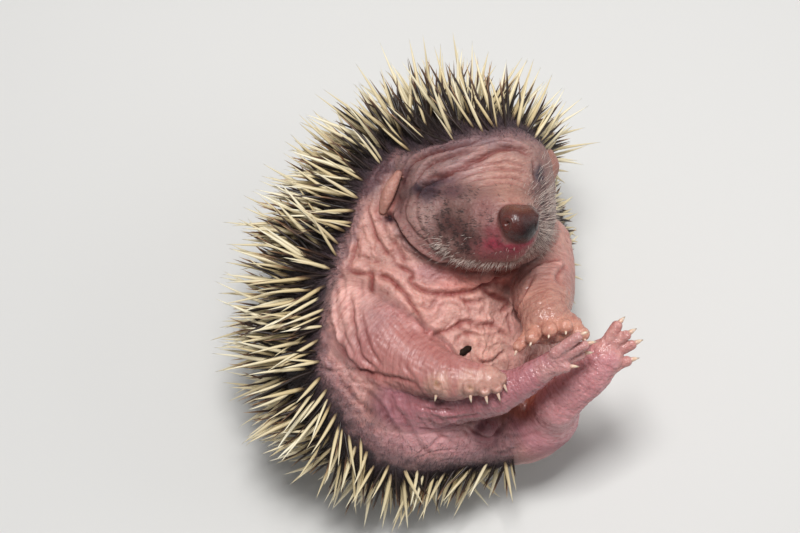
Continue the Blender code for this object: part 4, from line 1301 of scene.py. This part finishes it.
# ---- the spiny coat
skin_normals = vertex_normals(verts, [quads, fans])
used = np.zeros(len(verts), bool)
used[quads.ravel()] = True
bodies = np.maximum(own["trunk"], own["head"])
spiny = used & (bodies > 0.5) & (depth > -0.6) & (height(verts) > QUILL_LEAST)
ragged = depth + 1.2 * noise(verts, 2.2, 60)

WHITE_QUILL = [(0.0, 0.34), (0.05, 0.7), (0.16, 0.94), (0.34, 1.0), (0.56, 0.78), (0.76, 0.48),
               (0.91, 0.2)]
DARK_QUILL = [(0.0, 0.5), (0.12, 0.9), (0.4, 1.0), (0.7, 0.66), (0.9, 0.26)]
HAIR = [(0.0, 0.8), (0.5, 0.75)]
HAIR_SINK = 0.05  # how far under the skin a hair starts
HAIR_JITTER = 0.28  # how far hairs stray from the skin's points

BROW = np.array((3.0, 28.0, 12.0))
BROW_REACH = 16  # how far from there the quills still stand up
BROW_LONGER = 0.18  # how much longer than elsewhere the quills over the brow are
RUMP_SHORTER = 0.20  # how much shorter the quills below the rump are


def over_brow(index):
    return bell(apart(base[index], BROW) / BROW_REACH)


def left_flank(index):
    """1 on the left flank behind the head, where the coat lies flat, and 0 elsewhere."""
    return smooth_step(8, 18, base[index, 0]) * smooth_step(26, 20, base[index, 1])


def lie_of_coat(index, stand, spread):
    """Ways that lie over the back, standing up by stand, and straying by up to spread."""
    n = normals[index]
    back = lean_back(n)
    brow = over_brow(index)
    stand = stand + (0.74 - stand) * brow
    stand = stand * (1 - 0.55 * left_flank(index))
    across = np.cross(n, back)
    tailward = -np.sign(across[:, 1]) * smooth_step(8, -2, base[index, 1]) * smooth_step(6, 0, depth[index])
    swing = 0.34 * noise(base[index], 6.0, 81) + 0.30 * tailward
    stray = sideways(n) * rng.uniform(0, spread, (len(index), 1))
    return unit(n * stand[:, None] + back * (1 - stand)[:, None] + across * swing[:, None] + stray)


def quills(name, spacing, start, length, radius, profile, sides, stand, spread, bend, look,
           sparse_brow=0.0):
    chosen = scatter(base, spacing, np.flatnonzero(spiny & (ragged > start)))
    brow = over_brow(chosen)
    kept = rng.uniform(0, 1, len(chosen)) > sparse_brow * brow
    chosen = chosen[kept]
    young = smooth_step(-1.0, 4.0, depth[chosen])
    ways = lie_of_coat(chosen, stand, spread)
    rump = smooth_step(-18, -30, base[chosen, 1])
    lengths = length * (0.72 + 0.28 * young) * (1 - 0.4 * left_flank(chosen))
    lengths = lengths * (1 + BROW_LONGER * brow[kept] - RUMP_SHORTER * rump)
    return coat(name, verts[chosen], skin_normals[chosen], ways, lengths,
                radius * (0.8 + 0.2 * young), profile, sides, bend, look)


CREAM = quill_look("quill_cream", [(0.0, (0.10, 0.065, 0.045)), (0.08, (0.36, 0.26, 0.15)),
                                   (0.18, (0.72, 0.60, 0.37)), (0.5, (0.84, 0.73, 0.49)),
                                   (1.0, (0.90, 0.84, 0.66))],
                   (0.80, 0.74, 0.62), (1.0, 1.0, 1.0))
BANDED = quill_look("quill_banded", [(0.0, (0.045, 0.028, 0.022)), (0.2, (0.018, 0.010, 0.008)),
                                     (0.62, (0.026, 0.013, 0.008)), (0.80, (0.11, 0.055, 0.022)),
                                     (1.0, (0.50, 0.38, 0.22))],
                    (0.6, 0.5, 0.45), (1.3, 1.1, 1.0), 0.45)
white = quills("quills_white", spacing=2.05, start=-0.2, length=12.2, radius=0.385,
               profile=WHITE_QUILL, sides=7, stand=0.58, spread=0.30, bend=0.10, look=CREAM,
               sparse_brow=0.55)
quills("quills_banded", spacing=1.8, start=0.0, length=9.8, radius=0.29, profile=DARK_QUILL,
       sides=5, stand=0.52, spread=0.26, bend=0.08, look=BANDED)
quills("quills_slim", spacing=3.9, start=0.2, length=9.6, radius=0.26, profile=DARK_QUILL,
       sides=5, stand=0.58, spread=0.4, bend=0.10, look=CREAM)


def hairs(name, candidates, weights, count, length, radius, ways, look, slot, bend=0.2,
          sides=3, **more):
    chosen = picked(candidates, weights, count)
    n = skin_normals[chosen]
    jitter = sideways(n) * rng.uniform(0, HAIR_JITTER, (len(chosen), 1))
    return coat(name, verts[chosen] + jitter, n, ways(chosen, n), length(chosen), radius,
                HAIR, sides, bend, look, slot, sink=HAIR_SINK, **more)


spiny_index = np.flatnonzero(spiny)
UNDERFUR = hair_look("underfur", (0.012, 0.007, 0.007), (0.058, 0.034, 0.028))
area = np.where(depth > 2.5, 4.0, 1.0)  # coarse skin has fewer points for its area
hairs("underfur_back", spiny_index, area * smooth_step(0.0, 3.0, ragged),
      15000, lambda i: np.full(len(i), 3.0), 0.075,
      lambda i, n: lie_of_coat(i, 0.45, 0.5), UNDERFUR, "spines")
rim_index = np.flatnonzero(used & (bodies > 0.5) & (ragged > -3.0) & (depth < 3.0))
GRIZZLE = hair_look("rim_fur", (0.05, 0.030, 0.036), (0.15, 0.098, 0.112))
hairs("underfur_rim", rim_index, smooth_step(-3.0, 1.5, ragged) ** 2 + 0.03, 9000,
      lambda i: 0.6 + 1.1 * smooth_step(-2.0, 2.5, depth[i]), 0.036,
      lambda i, n: lie_of_coat(i, 0.34, 0.55), GRIZZLE, "spines", tip_gap=None)

# ---- hair of the bare parts
HEAD_CENTRE = np.array((4.0, 17.2, 5.0))
FACE_AHEAD = unit(NOSE_CENTRE - HEAD_CENTRE)


def away_from_nose(i, n, stand, spread):
    flat = base[i] - NOSE_CENTRE
    flat = unit(flat - n * (flat * n).sum(1, keepdims=True))
    return flat * (1 - stand) + n * stand + sideways(n) * rng.uniform(0, spread, (len(i), 1))


face = used & (own["head"] > 0.5) & (depth < -1.5) & (to_group(each, "nose") > 0.5)
pale_zone = (blob(base, (15.6, 12.5, 18.5), (2.0, 6.5, 5)) + 0.3 * blob(base, (-1.0, 7.5, 19), (4, 2.2, 5))
             + 0.05 * blob(base, (9.0, 6.0, 24.0), (6, 1.6, 5)))
FRINGE_LINE = np.array([(-1.9, 8.0, 19.1), (-0.2, 6.0, 18.3), (1.8, 4.9, 18.8), (4.2, 4.5, 20),
                        (6.7, 4.3, 21.4), (9.3, 4.5, 21.8), (11.8, 5.4, 20.5), (13.5, 6.9, 19.5),
                        (14.7, 8.4, 19), (15.6, 10.5, 18.6)])
fringe = np.min([apart(base, q) for q in fold_line(FRINGE_LINE)[0]], axis=0)
PALE_HAIR = hair_look("pale_hair", (0.60, 0.42, 0.36), (1.0, 0.93, 0.84), 0.35)
DARK_HAIR = hair_look("dark_hair", (0.05, 0.03, 0.03), (0.10, 0.07, 0.065))
face_index = np.flatnonzero(face)


def face_hairs(name, weights, count, length, radius, stand, spread, look):
    hairs(name, face_index, weights, count, length, radius,
          lambda i, n: away_from_nose(i, n, stand, spread), look, "mask", tip_gap=None,
          centre=HEAD_CENTRE, pole=FACE_AHEAD)


face_hairs("hair_lip", bell(fringe / 0.75), 360,
           lambda i: 1.3 + 1.0 * rng.uniform(0, 1, len(i)), 0.046, 0.42, 0.35, PALE_HAIR)
face_hairs("hair_cheek", np.minimum(1, pale_zone), 520,
           lambda i: (0.8 + 0.5 * rng.uniform(0, 1, len(i))
                      + 1.6 * smooth_step(13.5, 16.0, base[i, 0])), 0.042, 0.30, 0.3, PALE_HAIR)
stubble = (blob(base, (0.0, 12.5, 22), (5, 4.5, 6)) + blob(base, (1.0, 9.0, 22), (4, 2.5, 5))
           + blob(base, (15.4, 12.5, 18.5), (2, 5, 5)))
face_hairs("hair_stubble", stubble * smooth_step(-0.2, 0.5, noise(base, 0.8, 70)) + 0.002, 1300,
           lambda i: 0.55 + 0.35 * rng.uniform(0, 1, len(i)), 0.045, 0.20, 0.45, DARK_HAIR)
flank = used & (own["trunk"] > 0.6) & (depth < -0.8) & (depth > -9) & (base[:, 1] < -12)
hairs("hair_flank", np.flatnonzero(flank), smooth_step(-9, -2, depth), 900,
      lambda i: 0.6 + 0.4 * rng.uniform(0, 1, len(i)), 0.026,
      lambda i, n: lie_of_coat(i, 0.22, 0.4), GRIZZLE, "skin", tip_gap=None)

# ---- claws
SCAB_CENTRE = np.array((2.35, -10.5, 12.1))
SCAB_RADII = (1.25, 0.78, 0.75)
SCAB_TURN = math.radians(35)
CLAW = [(0.0, 0.75), (0.15, 1.0), (0.4, 0.86), (0.65, 0.6), (0.85, 0.3)]
CLAW_SIDES = 10
CLAW_BEND = 0.28  # how far a claw's tip curls, as a share of its length
CLAW_LOOK = claw_look()


def claw_object(name, leg):
    tips = np.array([toe[-1] for toe in leg["toes"]], float)
    before = np.array([toe[0] for toe in leg["toes"]], float)
    toe_way = unit(tips[:, :3] - before[:, :3])
    way, curl = unit(leg["claw_way"]), unit(leg["claw_curl"])
    ways = unit(0.45 * toe_way + way) if "fore" in name else unit(toe_way + 0.35 * way)
    roots = tips[:, :3] + ways * (tips[:, 3] * 0.55)[:, None]
    length, width = leg["claw_size"]
    each_claw = np.ones((len(tips), 1))
    verts, faces, along = spikes(roots, ways, each_claw[:, 0] * length, each_claw[:, 0] * width,
                                 each_claw * curl * CLAW_BEND, CLAW, CLAW_SIDES, each_claw * (0, 0))[:3]
    obj = mesh_object("claws_" + name, verts, [faces], {"along": along})
    dressed(obj, CLAW_LOOK)
    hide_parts(*[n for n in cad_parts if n.startswith("claw_" + name)])


for leg_name, leg in LEGS.items():
    claw_object(leg_name, leg)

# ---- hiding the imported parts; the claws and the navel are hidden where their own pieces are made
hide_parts(*[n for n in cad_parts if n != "spine_coat" and not n.startswith("claw_")
                    and n != "navel"])
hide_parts("spine_coat")


def scab_object():
    """A small dark crust of two lumps, drawn up-right across the navel."""
    rows, columns = 7, 16
    polar, around = np.meshgrid(np.linspace(0, math.pi, rows + 2)[1:-1],
                                2 * math.pi * np.arange(columns) / columns, indexing="ij")
    polar, around = polar.ravel(), around.ravel()
    ball = np.column_stack([np.cos(polar), np.sin(polar) * np.cos(around),
                            np.sin(polar) * np.sin(around)])
    ball = np.vstack([ball, (1, 0, 0), (-1, 0, 0)])
    waist = 1 - 0.28 * bell((ball[:, 0] - 0.15) / 0.22)
    ball = ball * np.column_stack([np.ones(len(ball)), waist, waist])
    ball = ball * (1 + 0.22 * noise(ball, 0.5, 90))[:, None]
    verts = SCAB_CENTRE + (ball * SCAB_RADII) @ frame_from(TRUNK_NORMAL, SCAB_TURN).T
    here, after = tube(rows, columns)
    quads = np.stack([here[:-1], after[:-1], after[1:], here[1:]], axis=-1)
    ends = np.full((2, columns), rows * columns) + [[0], [1]]
    caps = np.vstack([np.column_stack([ends[0], after[0], here[0]]),
                      np.column_stack([here[-1], after[-1], ends[1]])])
    obj = mesh_object("scab", verts, [quads.reshape(-1, 4)[:, ::-1], caps])
    dressed(obj, scab_look())
    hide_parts("navel")


scab_object()

# ---- stage
FLOOR_SIDE = 4.0
CAMERA_SPOT = (-9.0, 4.23, 400.0)  # in the body frame, looking down its z axis
LAMP_DISTANCE = 0.45
half = FLOOR_SIDE / 2
floor_mesh = bpy.data.meshes.new("floor")
floor_mesh.from_pydata([(-half, -half, 0), (half, -half, 0), (half, half, 0), (-half, half, 0)],
                       [], [(0, 1, 2, 3)])
floor = added("floor", floor_mesh)
floor_shader = Shader("floor_look")
floor_shader.set(Base_Color=(0.70, 0.69, 0.67, 1.0), Roughness=0.8)
floor.data.materials.append(floor_shader.material)

camera = added("camera", bpy.data.cameras.new("camera"))
camera.data.lens = 100
camera.data.sensor_width = 36
camera.data.clip_start = 0.01
camera.location = place([CAMERA_SPOT])[0]
camera.rotation_euler = (BODY_PITCH, 0, 0)
bpy.context.scene.camera = camera
for name, way, power, size in (("key", (-0.03, 0.06, 1.0), 1.75, 0.12),
                               ("fill", (0.9, 0.1, 0.55), 0.42, 0.34)):
    lamp = added(name, bpy.data.lights.new(name, "AREA"))
    lamp.data.energy = power
    lamp.data.size = size
    lamp.location = Vector(way).normalized() * LAMP_DISTANCE
    lamp.rotation_euler = Vector(way).to_track_quat("Z", "Y").to_euler()
world = bpy.data.worlds.new("world")
world.use_nodes = True
sky = world.node_tree.nodes["Background"].inputs
sky["Color"].default_value = (0.95, 0.97, 1, 1)
sky["Strength"].default_value = 0.24
bpy.context.scene.world = world
bpy.context.scene.view_settings.view_transform = "Standard"
